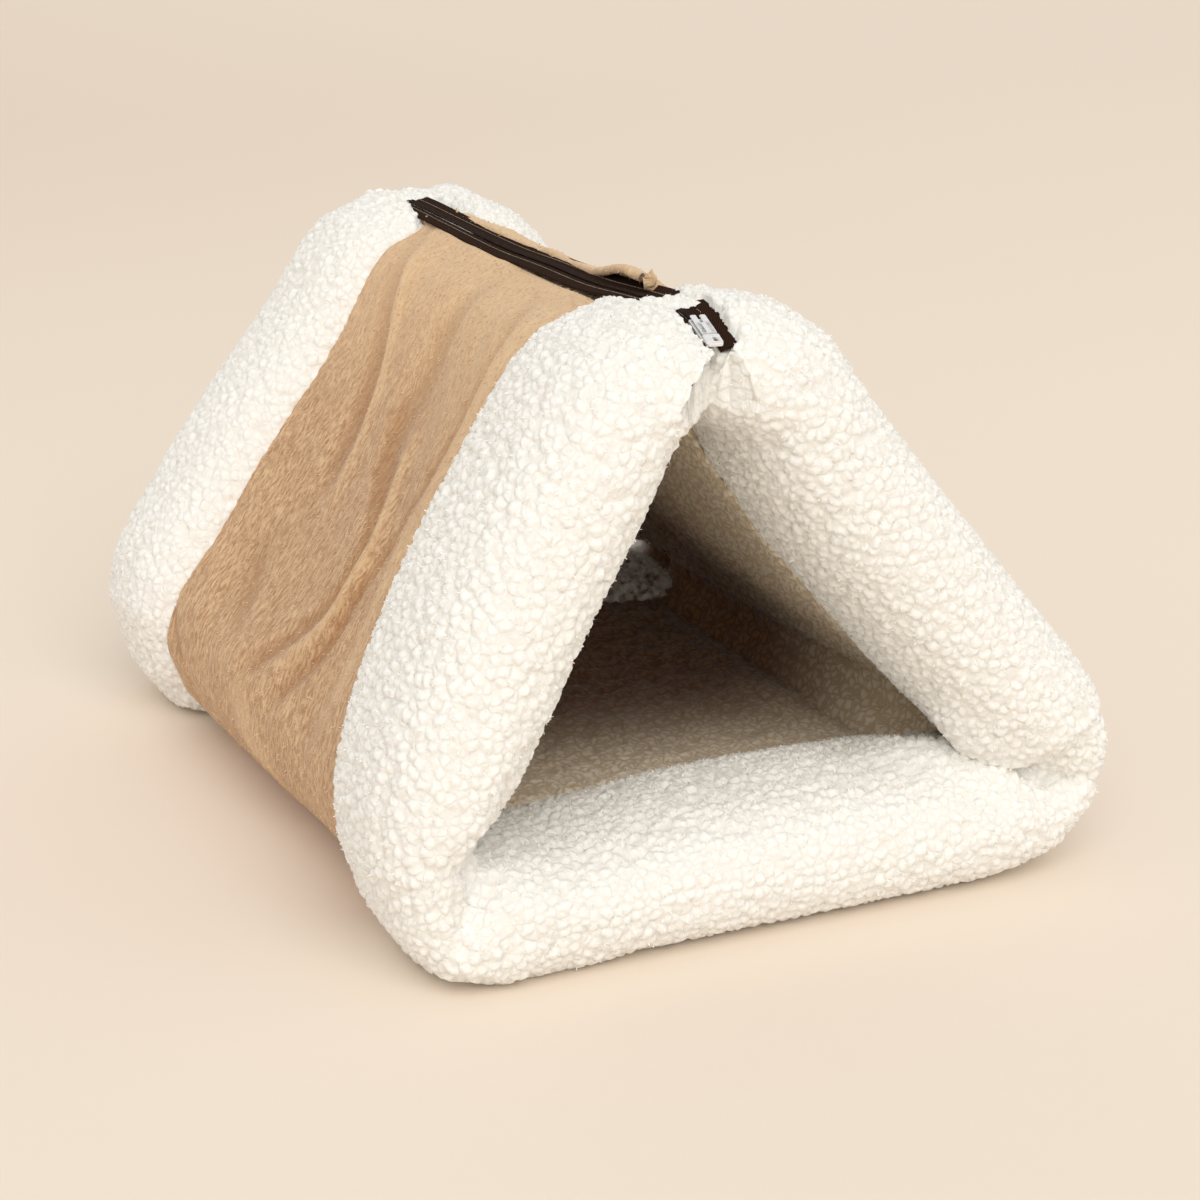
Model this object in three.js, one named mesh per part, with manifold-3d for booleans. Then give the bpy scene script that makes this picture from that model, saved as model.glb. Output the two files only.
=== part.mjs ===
// A cat tunnel bed: a padded mat whose two short edges are zipped together into a three-sided tunnel.
// Two stuffed fleece borders ring the mouths, a padded lining joins them inside, and a plush cover closes
// the outside. Millimetres, +Z up. The front mouth faces -Y and the tunnel runs along Y. The origin is on
// the floor below the middle.
import * as THREE from "three";
import { mergeVertices } from "three/addons/utils/BufferGeometryUtils.js";
import Module from "manifold-3d";

const wasm = await Module();
wasm.setup();

// Driving sizes
const LENGTH = 572; // mouth to mouth
const ZIP_FRONT_X = -31; // the closed edge leans to the left at the front mouth
const ZIP_BACK_X = 5; // and hardly at all at the back
const BORDER_FRONT_HALF = 62; // a border's half width towards its own mouth
const BORDER_WEB_HALF = 66; // and towards the middle of the tunnel
const BORDER_Y = LENGTH / 2 - BORDER_FRONT_HALF; // a border's centreline
const SECTION_POWER = 2.5; // above 2 the stuffed section is plumper than an ellipse
const COVER_THICK = 3;
const GAP = 0.35; // sewn pieces stand this far apart
const FLOOR_LIFT = 0.4; // the cover's underside above the floor
const TAPE_THICK = 1.2;
const COIL_WIDTH = 5.6;
const COIL_HIGH = 2.6;
const COIL_RISE = 0.6; // the coil's middle above the tapes' middle

// Mesh steps
const BORDER_STATIONS = 62;
const BORDER_SIDES = 20;
const COVER_STATIONS = 52;
const COVER_STEPS = 22;
const LINING_STATIONS = 38;
const LINING_STEPS = 9;
const ZIP_STEPS = 30;

// A border's centreline from the left zip end, down the left leg, along the floor and up the right leg.
// out and inn are its half thickness away from the tunnel and into it. bx and bz move the back border's
// station.
const BORDER_PATH = [
  { x: -31.3, z: 303, out: 40, inn: 25, bx: 36, bz: -3 },
  { x: -52, z: 303, out: 43, inn: 27, bx: 34, bz: -5 },
  { x: -74, z: 286, out: 44, inn: 32, bx: 35, bz: -7 },
  { x: -93, z: 259, out: 43, inn: 38, bx: 36, bz: -6 },
  { x: -113, z: 229, out: 42, inn: 41, bx: 34, bz: -4 },
  { x: -132, z: 196, out: 42, inn: 42, bx: 29, bz: 0 },
  { x: -149, z: 161, out: 42, inn: 42, bx: 20, bz: 0 },
  { x: -163, z: 124, out: 43, inn: 38, bx: 10, bz: 0 },
  { x: -170, z: 92, out: 44, inn: 28, bx: -3, bz: 0 },
  { x: -168, z: 66, out: 44, inn: 18, bx: -8, bz: 0 },
  { x: -150, z: 46, out: 54, inn: 24, bx: -6, bz: 0 },
  { x: -114, z: 37, out: 47, inn: 26, bx: 0, bz: 0 },
  { x: -70, z: 36, out: 40, inn: 31, bx: 0, bz: 0 },
  { x: -10, z: 36, out: 40, inn: 37, bx: 0, bz: 0 },
  { x: 50, z: 36, out: 40, inn: 38, bx: 0, bz: 0 },
  { x: 110, z: 36, out: 40, inn: 36, bx: 0, bz: 0 },
  { x: 156, z: 38, out: 41, inn: 28, bx: 0, bz: 0 },
  { x: 186, z: 48, out: 43, inn: 20, bx: 0, bz: 0 },
  { x: 197, z: 70, out: 40, inn: 22, bx: 0, bz: 0 },
  { x: 188, z: 93, out: 41, inn: 32, bx: 2, bz: 0 },
  { x: 166, z: 117, out: 42, inn: 40, bx: 5, bz: 0 },
  { x: 136, z: 151, out: 42, inn: 42, bx: 9, bz: 0 },
  { x: 103, z: 189, out: 42, inn: 42, bx: 14, bz: 0 },
  { x: 70, z: 227, out: 42, inn: 42, bx: 20, bz: 0 },
  { x: 40, z: 262, out: 43, inn: 38, bx: 25, bz: -4 },
  { x: 14, z: 291, out: 47, inn: 29, bx: 30, bz: -9 },
  { x: -8, z: 303, out: 46, inn: 26, bx: 34, bz: -8 },
  { x: -30.7, z: 303, out: 40, inn: 25, bx: 36, bz: -3 },
];
// The two folded corners: where each lies on the path, how wide its crease is and how far it bites in.
const CORNERS = [
  { row: 9, reach: 32, bite: 0.5, pinch: 0.36 },
  { row: 17.5, reach: 32, bite: 0.5, pinch: 0.4 },
];
// A border's ends at the zip are blunt pillows: least is the share of full size at the end face, and reach
// is the rounding's length.
const END_OUT = { least: 0.55, reach: 30 };
const END_IN = { least: 0.6, reach: 22 };
const END_WIDE = { least: 0.66, reach: 30 };

// The cover's outer face, as distance outwards from the centreline, at the front seam, the sag and the back
// seam. at is millimetres along the path from the left zip end, and low is the share of the way back where
// it sags most.
const COVER_ROWS = [
  { at: 14, front: 29, sag: 25, back: 28, low: 0.5 },
  { at: 40, front: 28, sag: 18, back: 24, low: 0.5 },
  { at: 85, front: 22, sag: 7, back: 19, low: 0.55 },
  { at: 140, front: 19, sag: 1, back: 17, low: 0.6 },
  { at: 195, front: 19, sag: 1, back: 17, low: 0.6 },
  { at: 240, front: 21, sag: 6, back: 16, low: 0.55 },
  { at: 275, front: 27, sag: 18, back: 19, low: 0.5 },
  { at: 305, front: 34, sag: 31, back: 27, low: 0.5 },
  { at: 335, front: 42, sag: 42, back: 40, low: 0.5 },
  { at: 380, front: 40, sag: 40, back: 40, low: 0.5 },
  { at: 600, front: 40, sag: 40, back: 40, low: 0.5 },
  { at: 660, front: 41, sag: 42, back: 41, low: 0.5 },
  { at: 700, front: 33, sag: 30, back: 33, low: 0.5 },
  { at: 750, front: 24, sag: 12, back: 23, low: 0.45 },
  { at: 800, front: 20, sag: 1, back: 18, low: 0.45 },
  { at: 880, front: 19, sag: -2, back: 17, low: 0.45 },
  { at: 940, front: 21, sag: 6, back: 18, low: 0.45 },
  { at: 985, front: 30, sag: 20, back: 24, low: 0.4 },
  { at: 1006, front: 38, sag: 29, back: 30, low: 0.35 },
  { at: 1018, front: 39, sag: 29, back: 31, low: 0.35 },
];
// The lining's inner face, as distance into the tunnel from the centreline.
const LINING_ROWS = [
  { at: 14, rim: 22, middle: 16 },
  { at: 60, rim: 30, middle: 24 },
  { at: 120, rim: 36, middle: 30 },
  { at: 190, rim: 36, middle: 30 },
  { at: 240, rim: 30, middle: 26 },
  { at: 290, rim: 16, middle: 12 },
  { at: 335, rim: 18, middle: 6 },
  { at: 420, rim: 24, middle: 2 },
  { at: 580, rim: 26, middle: 0 },
  { at: 640, rim: 16, middle: 4 },
  { at: 690, rim: 18, middle: 14 },
  { at: 740, rim: 32, middle: 26 },
  { at: 820, rim: 38, middle: 31 },
  { at: 920, rim: 36, middle: 28 },
  { at: 980, rim: 28, middle: 22 },
  { at: 1018, rim: 22, middle: 16 },
];
// The cover's main folds, each a soft ridge (above 0) or trough along three points given as at and y.
const FOLDS = [
  { from: [22, 120], by: [110, 30], to: [205, -62], lift: 5, wide: 18 },
  { from: [205, -62], by: [255, -30], to: [292, 70], lift: 4, wide: 17 },
  { from: [55, 10], by: [130, -60], to: [225, -110], lift: -5, wide: 13 },
  { from: [18, 80], by: [60, 70], to: [100, 60], lift: -3, wide: 11 },
  { from: [16, 20], by: [50, -8], to: [86, -28], lift: -4, wide: 11 },
  { from: [16, -50], by: [60, -76], to: [100, -98], lift: -3, wide: 11 },
  { from: [225, -110], by: [262, -100], to: [290, -75], lift: -4, wide: 13 },
  { from: [232, 120], by: [266, 108], to: [298, 84], lift: -4, wide: 10 },
  { from: [1006, 80], by: [950, 50], to: [880, 10], lift: 4, wide: 17 },
  { from: [1008, -40], by: [960, -70], to: [880, -90], lift: -4, wide: 14 },
  { from: [880, 10], by: [800, -30], to: [740, -10], lift: 4, wide: 19 },
  { from: [880, -90], by: [800, -106], to: [735, -90], lift: -4, wide: 14 },
  { from: [1017, -115], by: [1004, -135], to: [985, -142], lift: 6, wide: 16 },
];

// The zip's line at the closed edge: its height, and how steeply each tape climbs away from the teeth.
const ZIP_ROWS = [
  { y: 272, z: 329, left: 0, right: 0.1 },
  { y: 231, z: 330, left: -0.05, right: 0.2 },
  { y: 131, z: 329, left: -0.1, right: 0.15 },
  { y: 35, z: 328, left: -0.15, right: 0.25 },
  { y: -40, z: 330, left: -0.15, right: 0.25 },
  { y: -111, z: 331, left: -0.15, right: 0.35 },
  { y: -176, z: 335, left: 0, right: 0.4 },
  { y: -225, z: 337, left: 0.05, right: 0.4 },
  { y: -248, z: 333, left: 0.1, right: 0.35 },
  { y: -268, z: 324, left: 0.1, right: 0.3 },
  { y: -281, z: 317, left: 0.1, right: 0.3 },
];
const TAPE_WIDTH = 13; // one tape, from the teeth to its sewn edge
const TEETH_FRONT_Y = -270; // the teeth stop short of the tapes' ends
const TEETH_BACK_Y = 262;
const SLIDER = { y: -258, long: 19, wide: 10.5, high: 5.4, round: 2.4, tip: 0.6 };
const PULL = { long: 23, wide: 7.5, thick: 1.6, round: 1.8, clear: 1.4, forward: 6 };
const BAIL = { long: 8, wide: 3, round: 0.9, above: 1.6, root: 0.4, back: 1 };

const lerp = (a, b, t) => a + (b - a) * t;
const clamp = (v, lo, hi) => Math.min(hi, Math.max(lo, v));
const smooth = (t) => {
  const c = clamp(t, 0, 1);
  return c * c * (3 - 2 * c);
};

// Smooth interpolation of one column of a table whose rows are placed by another column.
function column(rows, place, key, at) {
  const up = rows[0][place] < rows[rows.length - 1][place];
  let k = rows.findIndex((r) => (up ? r[place] > at : r[place] < at));
  if (k < 0) k = rows.length - 1;
  k = clamp(k, 1, rows.length - 1);
  const value = (i) => rows[clamp(i, 0, rows.length - 1)][key];
  const t = clamp((at - rows[k - 1][place]) / (rows[k][place] - rows[k - 1][place]), 0, 1);
  const [before, a, b, after] = [value(k - 2), value(k - 1), value(k), value(k + 1)];
  const [leave, arrive] = [(b - before) / 2, (after - a) / 2];
  const bend = 3 * (b - a) - 2 * leave - arrive;
  const twist = 2 * (a - b) + leave + arrive;
  return a + t * (leave + t * (bend + t * twist));
}

// The border path resampled at even steps, with its outward direction and half thicknesses.
function borderStations(count, back) {
  const points = BORDER_PATH.map((r) => new THREE.Vector3(r.x + back * r.bx, 0, r.z + back * r.bz));
  const curve = new THREE.CatmullRomCurve3(points, false, "centripetal");
  const rows = BORDER_PATH.length - 1;
  const fine = 900;
  const length = [0];
  let last = curve.getPoint(0);
  for (let i = 1; i <= fine; i++) {
    const p = curve.getPoint(i / fine);
    length.push(length[i - 1] + p.distanceTo(last));
    last = p;
  }
  const total = length[fine];
  const shareAt = (mm) => {
    const k = clamp(length.findIndex((v) => v >= mm), 1, fine);
    return (k - 1 + (mm - length[k - 1]) / (length[k] - length[k - 1])) / fine;
  };
  const corners = CORNERS.map((c) => ({ ...c, at: length[Math.round((c.row / rows) * fine)] }));
  const station = (at) => {
    const u = clamp(shareAt(clamp(at, 0, total)), 0, 1);
    const p = curve.getPoint(u);
    const t = curve.getTangent(u);
    const k = clamp(Math.floor(u * rows), 0, rows - 1);
    const f = smooth(u * rows - k);
    const [a, b] = [BORDER_PATH[k], BORDER_PATH[k + 1]];
    const [out, inn] = [lerp(a.out, b.out, f), lerp(a.inn, b.inn, f)];
    return { at, x: p.x, z: p.z, nx: t.z, nz: -t.x, out, inn };
  };
  const even = Array.from({ length: count }, (_, i) => station((total * i) / (count - 1)));
  return { total, corners, station, even };
}

const endRound = (end, d) => {
  const c = clamp(1 - d / end.reach, 0, 1);
  return end.least + (1 - end.least) * Math.sqrt(1 - c * c);
};

// One ring of points around a border's section: rounded at the zip, pinched at the folded corners and flat
// on the floor.
function borderSection(border, s, side, grow) {
  const end = Math.min(s.at, border.total - s.at);
  const ring = [];
  for (let i = 0; i < BORDER_SIDES; i++) {
    const angle = (2 * Math.PI * i) / BORDER_SIDES;
    const [c, sn] = [Math.cos(angle), Math.sin(angle)];
    const outwards = Math.sign(c) * Math.abs(c) ** (2 / SECTION_POWER);
    const along = Math.sign(sn) * Math.abs(sn) ** (2 / SECTION_POWER);
    let n = outwards * (outwards > 0 ? s.out * endRound(END_OUT, end) : s.inn * endRound(END_IN, end));
    let y = along * (along > 0 ? BORDER_WEB_HALF : BORDER_FRONT_HALF) * endRound(END_WIDE, end);
    for (const corner of border.corners) {
      const near = clamp(1 - Math.abs(s.at - corner.at) / corner.reach, 0, 1) ** 1.4;
      const inside = smooth((1 - outwards) / 1.6);
      n += near * inside * corner.bite * s.inn;
      y *= 1 - near * inside * corner.pinch;
    }
    const size = Math.hypot(n, y);
    n += (grow * n) / size;
    y += (grow * y) / size;
    const floor = -grow;
    ring.push([s.x + s.nx * n, side * (-BORDER_Y + y), Math.max(s.z + s.nz * n, floor)]);
  }
  return ring;
}

// A closed body from a list of point rings, with a fan over each end ring.
function loft(rings) {
  const sides = rings[0].length;
  const points = rings.flat();
  const faces = [];
  for (let i = 0; i + 1 < rings.length; i++)
    for (let j = 0; j < sides; j++) {
      const [a, b] = [i * sides + j, i * sides + ((j + 1) % sides)];
      faces.push([a, b, b + sides], [a, b + sides, a + sides]);
    }
  for (const [first, turn] of [[0, false], [(rings.length - 1) * sides, true]]) {
    const ring = points.slice(first, first + sides);
    points.push([0, 1, 2].map((k) => ring.reduce((sum, p) => sum + p[k], 0) / sides));
    const centre = points.length - 1;
    for (let j = 0; j < sides; j++) {
      const [a, b] = [first + j, first + ((j + 1) % sides)];
      faces.push(turn ? [centre, a, b] : [centre, b, a]);
    }
  }
  return geometryOf(points, faces);
}

// A closed body between two matching grids of points, top and under.
function slab(top, under) {
  const [rows, cols] = [top.length, top[0].length];
  const points = [...top.flat(), ...under.flat()];
  const at = (k, i, j) => k * rows * cols + i * cols + j;
  const faces = [];
  const quad = (a, b, c, d) => faces.push([a, b, c], [a, c, d]);
  for (let i = 0; i + 1 < rows; i++)
    for (let j = 0; j + 1 < cols; j++) {
      quad(at(0, i, j), at(0, i, j + 1), at(0, i + 1, j + 1), at(0, i + 1, j));
      quad(at(1, i, j), at(1, i + 1, j), at(1, i + 1, j + 1), at(1, i, j + 1));
    }
  for (let i = 0; i + 1 < rows; i++) {
    quad(at(0, i, 0), at(0, i + 1, 0), at(1, i + 1, 0), at(1, i, 0));
    quad(at(0, i + 1, cols - 1), at(0, i, cols - 1), at(1, i, cols - 1), at(1, i + 1, cols - 1));
  }
  for (let j = 0; j + 1 < cols; j++) {
    quad(at(0, 0, j + 1), at(0, 0, j), at(1, 0, j), at(1, 0, j + 1));
    quad(at(0, rows - 1, j), at(0, rows - 1, j + 1), at(1, rows - 1, j + 1), at(1, rows - 1, j));
  }
  return geometryOf(points, faces);
}

function geometryOf(points, faces) {
  const geometry = new THREE.BufferGeometry();
  geometry.setAttribute("position", new THREE.Float32BufferAttribute(points.flat(), 3));
  geometry.setIndex(faces.flat());
  return geometry;
}

// three.js geometry to a manifold-3d solid that faces outwards, and back.
function solidOf(geometry) {
  const bare = geometry.clone();
  for (const name of ["normal", "uv"]) bare.deleteAttribute(name);
  const merged = mergeVertices(bare, 1e-4);
  const triVerts = new Uint32Array(merged.index.array);
  const vertProperties = merged.attributes.position.array;
  const made = new wasm.Manifold(new wasm.Mesh({ numProp: 3, vertProperties, triVerts }));
  if (made.volume() > 0) return made;
  for (let i = 0; i < triVerts.length; i += 3)
    [triVerts[i + 1], triVerts[i + 2]] = [triVerts[i + 2], triVerts[i + 1]];
  return new wasm.Manifold(new wasm.Mesh({ numProp: 3, vertProperties, triVerts }));
}

function largest(solid) {
  return solid.decompose().reduce((best, s) => (s.volume() > best.volume() ? s : best));
}

function geometryFrom(solid) {
  const mesh = solid.getMesh();
  const geometry = new THREE.BufferGeometry();
  const values = new Float32Array(mesh.numVert * 3);
  for (let v = 0; v < mesh.numVert; v++)
    for (let k = 0; k < 3; k++) values[3 * v + k] = mesh.vertProperties[v * mesh.numProp + k];
  geometry.setAttribute("position", new THREE.BufferAttribute(values, 3));
  geometry.setIndex(new THREE.BufferAttribute(new Uint32Array(mesh.triVerts), 1));
  geometry.computeVertexNormals();
  return geometry;
}

const paths = { front: borderStations(BORDER_STATIONS, 0), back: borderStations(BORDER_STATIONS, 1) };

// A border as a solid; grow swells it so that a neighbour can be cut back by it.
function borderSolid(which, grow = 0) {
  const side = which === "front" ? 1 : -1;
  const path = paths[which];
  const rings = path.even.map((s) => borderSection(path, s, side, grow));
  if (grow > 0) {
    const past = (ring, s, step) => ring.map(([x, y, z]) => [x - s.nz * step, y, z + s.nx * step]);
    rings.unshift(past(rings[0], path.even[0], -grow));
    rings.push(past(rings[rings.length - 1], path.even[path.even.length - 1], grow));
  }
  return solidOf(loft(rings));
}

// The soft ridges and troughs of the cover at one place.
function foldLift(at, y) {
  let lift = 0;
  for (const fold of FOLDS) {
    let [near, share] = [Infinity, 0];
    const steps = 12;
    for (let i = 0; i <= steps; i++) {
      const t = i / steps;
      const u = (1 - t) ** 2 * fold.from[0] + 2 * t * (1 - t) * fold.by[0] + t * t * fold.to[0];
      const v = (1 - t) ** 2 * fold.from[1] + 2 * t * (1 - t) * fold.by[1] + t * t * fold.to[1];
      const d = Math.hypot(at - u, y - v);
      if (d < near) [near, share] = [d, t];
    }
    const fade = 0.35 + 0.65 * Math.sin(Math.PI * clamp(share, 0.02, 0.98));
    lift += fold.lift * fade * Math.exp(-((near / fold.wide) ** 2));
  }
  return lift;
}

// A point between the two borders: at along the path, share of the way back, distance outwards.
function between(at, share, y, outwards) {
  const f = paths.front.station(at);
  const b = paths.back.station(at);
  const [nx, nz] = [lerp(f.nx, b.nx, share), lerp(f.nz, b.nz, share)];
  const size = Math.hypot(nx, nz);
  const [x, z] = [lerp(f.x, b.x, share), lerp(f.z, b.z, share)];
  return [x + (nx / size) * outwards, y, z + (nz / size) * outwards];
}

// The cover's outer face at one place.
function coverOut(at, share, y, folds = 1) {
  const value = (key) => column(COVER_ROWS, "at", key, at);
  const low = value("low");
  const forward = share < low;
  const off = forward ? share / low : (1 - share) / (1 - low);
  const rise = 1 - Math.sin((Math.PI / 2) * clamp(off, 0, 1));
  return lerp(value("sag"), value(forward ? "front" : "back"), rise) + folds * foldLift(at, y);
}

const SEAM_Y = BORDER_Y - 58; // the cover's cut edge, just inside each border
const COVER_ENDS = 13; // the cover's top edges stop this far from the path's ends, beside the zip
const LINING_ENDS = 8; // and the lining's ends stop nearer, under the tapes
const LINING_SEAM_Y = BORDER_Y - 44; // the lining runs on under each border's inner side
const LINING_FLOOR = 6; // the lining's least padding where it lies on the floor
const LINING_CLEAR = 7; // the cover's troughs fold into this space over the lining

function webGrid(stations, steps, inset, seamY, place) {
  const total = paths.front.total;
  const grid = [];
  for (let i = 0; i < stations; i++) {
    const at = lerp(inset, total - inset, i / (stations - 1));
    const row = [];
    for (let j = 0; j < steps; j++) {
      const share = j / (steps - 1);
      row.push(place(at, share, lerp(-seamY, seamY, share)));
    }
    grid.push(row);
  }
  return grid;
}

function coverGrid(depth) {
  return webGrid(COVER_STATIONS, COVER_STEPS, COVER_ENDS, SEAM_Y, (at, share, y) => {
    const p = between(at, share, y, coverOut(at, share, y) - depth);
    p[2] = Math.max(p[2], FLOOR_LIFT + depth);
    return p;
  });
}

function liningGrid(inner) {
  return webGrid(LINING_STATIONS, LINING_STEPS, LINING_ENDS, LINING_SEAM_Y, (at, share, y) => {
    const rim = column(LINING_ROWS, "at", "rim", at);
    const middle = column(LINING_ROWS, "at", "middle", at);
    const within = -lerp(rim, middle, Math.sin(Math.PI * share) ** 0.8);
    const coverShare = clamp((y + SEAM_Y) / (2 * SEAM_Y), 0, 1);
    const under = coverOut(at, coverShare, y, 0) - COVER_THICK - LINING_CLEAR;
    const p = between(at, share, y, inner ? within : under);
    p[2] = Math.max(p[2], FLOOR_LIFT + COVER_THICK + GAP + (inner ? LINING_FLOOR : 0));
    return p;
  });
}

// The zip's line and how its two tapes climb at one place along the tunnel.
function zipAt(y) {
  const value = (key) => column(ZIP_ROWS, "y", key, y);
  const x = lerp(ZIP_FRONT_X, ZIP_BACK_X, y / LENGTH + 0.5);
  return { x, z: value("z"), left: value("left"), right: value("right") };
}

function tapeGrid(side, lift, grow) {
  const rows = [];
  const [from, to] = [ZIP_ROWS[0].y + grow, ZIP_ROWS[ZIP_ROWS.length - 1].y - grow];
  for (let i = 0; i <= ZIP_STEPS; i++) {
    const y = lerp(from, to, i / ZIP_STEPS);
    const zip = zipAt(y);
    const climb = side < 0 ? zip.left : zip.right;
    const near = COIL_WIDTH / 2 + GAP - grow;
    const far = TAPE_WIDTH + grow;
    rows.push([near, far].map((d) => [zip.x + side * d, y, zip.z + (d - COIL_WIDTH / 2) * climb + lift]));
  }
  return rows;
}

function tapeSolid(side, grow = 0) {
  const half = TAPE_THICK / 2 + grow;
  return solidOf(slab(tapeGrid(side, half, grow), tapeGrid(side, -half, grow)));
}

function teethSolid(grow = 0) {
  const rings = [];
  for (let i = 0; i <= ZIP_STEPS; i++) {
    const y = lerp(TEETH_BACK_Y + grow, TEETH_FRONT_Y - grow, i / ZIP_STEPS);
    const { x, z } = zipAt(y);
    const [w, h] = [COIL_WIDTH / 2 + grow, COIL_HIGH / 2 + grow];
    const right = [[w / 2, -h], [w, -h / 2], [w, h / 2], [w / 2, h]];
    const corners = [...right, ...right.map(([dx, dz]) => [-dx, -dz])];
    rings.push(corners.map(([dx, dz]) => [x + dx, y, z + COIL_RISE + dz]));
  }
  return solidOf(loft(rings));
}

// A box with rounded plan corners, tilted to the zip's slope at its place.
function zipPiece(plan, high, y, rise) {
  const body = new THREE.ExtrudeGeometry(plan, { depth: high, bevelEnabled: false, curveSegments: 5 });
  const slope = Math.atan2(zipAt(y + 4).z - zipAt(y - 4).z, 8);
  body.rotateX(slope);
  body.translate(zipAt(y).x, y, zipAt(y).z + rise);
  return body;
}

function roundedPlan(wide, long, round, nose = 1) {
  const [w, l] = [wide / 2, long / 2];
  const plan = new THREE.Shape();
  plan.moveTo(-w * nose + round, -l);
  plan.lineTo(w * nose - round, -l);
  plan.quadraticCurveTo(w * nose, -l, w * nose, -l + round);
  plan.lineTo(w, l - round);
  plan.quadraticCurveTo(w, l, w - round, l);
  plan.lineTo(-w + round, l);
  plan.quadraticCurveTo(-w, l, -w, l - round);
  plan.lineTo(-w * nose, -l + round);
  plan.quadraticCurveTo(-w * nose, -l, -w * nose + round, -l);
  return plan;
}

// The slider wraps the teeth, so the chain's own shape is cut out of it.
function sliderSolid(grow = 0) {
  const plan = roundedPlan(SLIDER.wide + 2 * grow, SLIDER.long + 2 * grow, SLIDER.round, SLIDER.tip);
  return solidOf(zipPiece(plan, SLIDER.high + 2 * grow, SLIDER.y, COIL_RISE - SLIDER.high / 2 - grow));
}

function pullSolid(grow = 0) {
  const plan = roundedPlan(PULL.wide + 2 * grow, PULL.long + 2 * grow, PULL.round);
  const rise = COIL_RISE + SLIDER.high / 2 + PULL.clear - grow;
  return solidOf(zipPiece(plan, PULL.thick + 2 * grow, SLIDER.y - PULL.forward, rise));
}

// The bail stands on the slider's back and holds the pull's root.
function bailSolid(grow = 0) {
  const plan = roundedPlan(BAIL.wide + 2 * grow, BAIL.long + 2 * grow, BAIL.round);
  const high = PULL.clear + PULL.thick + BAIL.above + grow;
  const rise = COIL_RISE + SLIDER.high / 2 - BAIL.root;
  return solidOf(zipPiece(plan, high, SLIDER.y + BAIL.back, rise));
}

const plush = new THREE.MeshStandardMaterial({ color: 0xcca988, roughness: 0.95, metalness: 0 });
const fleece = new THREE.MeshStandardMaterial({ color: 0xf5f1e8, roughness: 1, metalness: 0 });
const tape = new THREE.MeshStandardMaterial({ color: 0x33211a, roughness: 0.85, metalness: 0 });
const nylon = new THREE.MeshStandardMaterial({ color: 0x1d1512, roughness: 0.45, metalness: 0 });
const nickel = new THREE.MeshStandardMaterial({ color: 0xdedede, roughness: 0.25, metalness: 1 });

const bed = new THREE.Group();
function add(name, solid, material) {
  const mesh = new THREE.Mesh(geometryFrom(largest(solid)), material);
  mesh.name = name;
  bed.add(mesh);
}

const clearOf = (solid, others) => others.reduce((left, other) => left.subtract(other), solid);
const chainRoom = [tapeSolid(-1, GAP), tapeSolid(1, GAP), teethSolid(GAP)];
const zipRoom = [...chainRoom, sliderSolid(GAP), pullSolid(GAP), bailSolid(GAP)];

// The slider's body and bail are one casting, and the loose pull lies down on it as it hangs.
const slider = clearOf(sliderSolid().add(bailSolid()), chainRoom);
const pull = pullSolid().subtract(bailSolid(GAP));

const grownBorders = [borderSolid("front", GAP), borderSolid("back", GAP)];
const cover = clearOf(solidOf(slab(coverGrid(0), coverGrid(COVER_THICK))), [...grownBorders, ...zipRoom]);
const lining = clearOf(solidOf(slab(liningGrid(false), liningGrid(true))), [...grownBorders, ...zipRoom]);

add("front_border", clearOf(borderSolid("front"), zipRoom), fleece);
add("back_border", clearOf(borderSolid("back"), zipRoom), fleece);
add("padded_lining", lining, fleece);
add("plush_cover", cover, plush);
add("zip_tape_left", tapeSolid(-1), tape);
add("zip_tape_right", tapeSolid(1), tape);
add("zip_teeth", teethSolid(), nylon);
add("zip_slider", slider, nickel);
add("zip_pull", pull, nickel);

// The origin is on the floor below the middle of the whole bed.
const whole = new THREE.Box3().setFromObject(bed);
bed.position.x = -(whole.min.x + whole.max.x) / 2;

export default bed;
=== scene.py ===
"""Looks of the cat tunnel bed: fleece borders, a padded lining, a brushed plush cover and a coil zip."""

from __future__ import annotations

import logging
import math
from collections.abc import Mapping, Sequence
from dataclasses import dataclass, replace
from enum import Enum

import bmesh
import bpy
import numpy as np
from bpy.types import Material, Mesh, Node, NodeSocket, NodeTree, Object
from mathutils import Matrix, Vector, noise
from mathutils.bvhtree import BVHTree


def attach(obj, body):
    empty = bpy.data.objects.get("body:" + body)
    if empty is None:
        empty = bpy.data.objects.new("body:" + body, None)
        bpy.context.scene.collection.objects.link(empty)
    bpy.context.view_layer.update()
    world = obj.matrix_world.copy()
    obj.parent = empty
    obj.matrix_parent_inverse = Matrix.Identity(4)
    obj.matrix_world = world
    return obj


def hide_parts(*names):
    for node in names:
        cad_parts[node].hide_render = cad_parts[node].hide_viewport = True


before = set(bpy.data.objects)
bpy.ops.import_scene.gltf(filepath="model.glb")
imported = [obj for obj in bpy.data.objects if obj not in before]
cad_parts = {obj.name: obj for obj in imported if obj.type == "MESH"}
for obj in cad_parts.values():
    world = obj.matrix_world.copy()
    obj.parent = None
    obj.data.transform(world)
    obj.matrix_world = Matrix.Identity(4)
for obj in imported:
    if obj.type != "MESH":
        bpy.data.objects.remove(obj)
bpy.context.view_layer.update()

MM = 0.001
BODY = "root"
CURL = 6.0 * MM
LINING_CURL = 6.4 * MM
FLOAT, VECTOR = "NodeSocketFloat", "NodeSocketVector"
log = logging.getLogger("tunnel_bed")

Colour = tuple[float, float, float, float]
Values = Mapping[str | int, object]
Bar = tuple[tuple[float, float, float], tuple[float, float, float]]
Sheet = tuple[np.ndarray, np.ndarray, np.ndarray]


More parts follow.
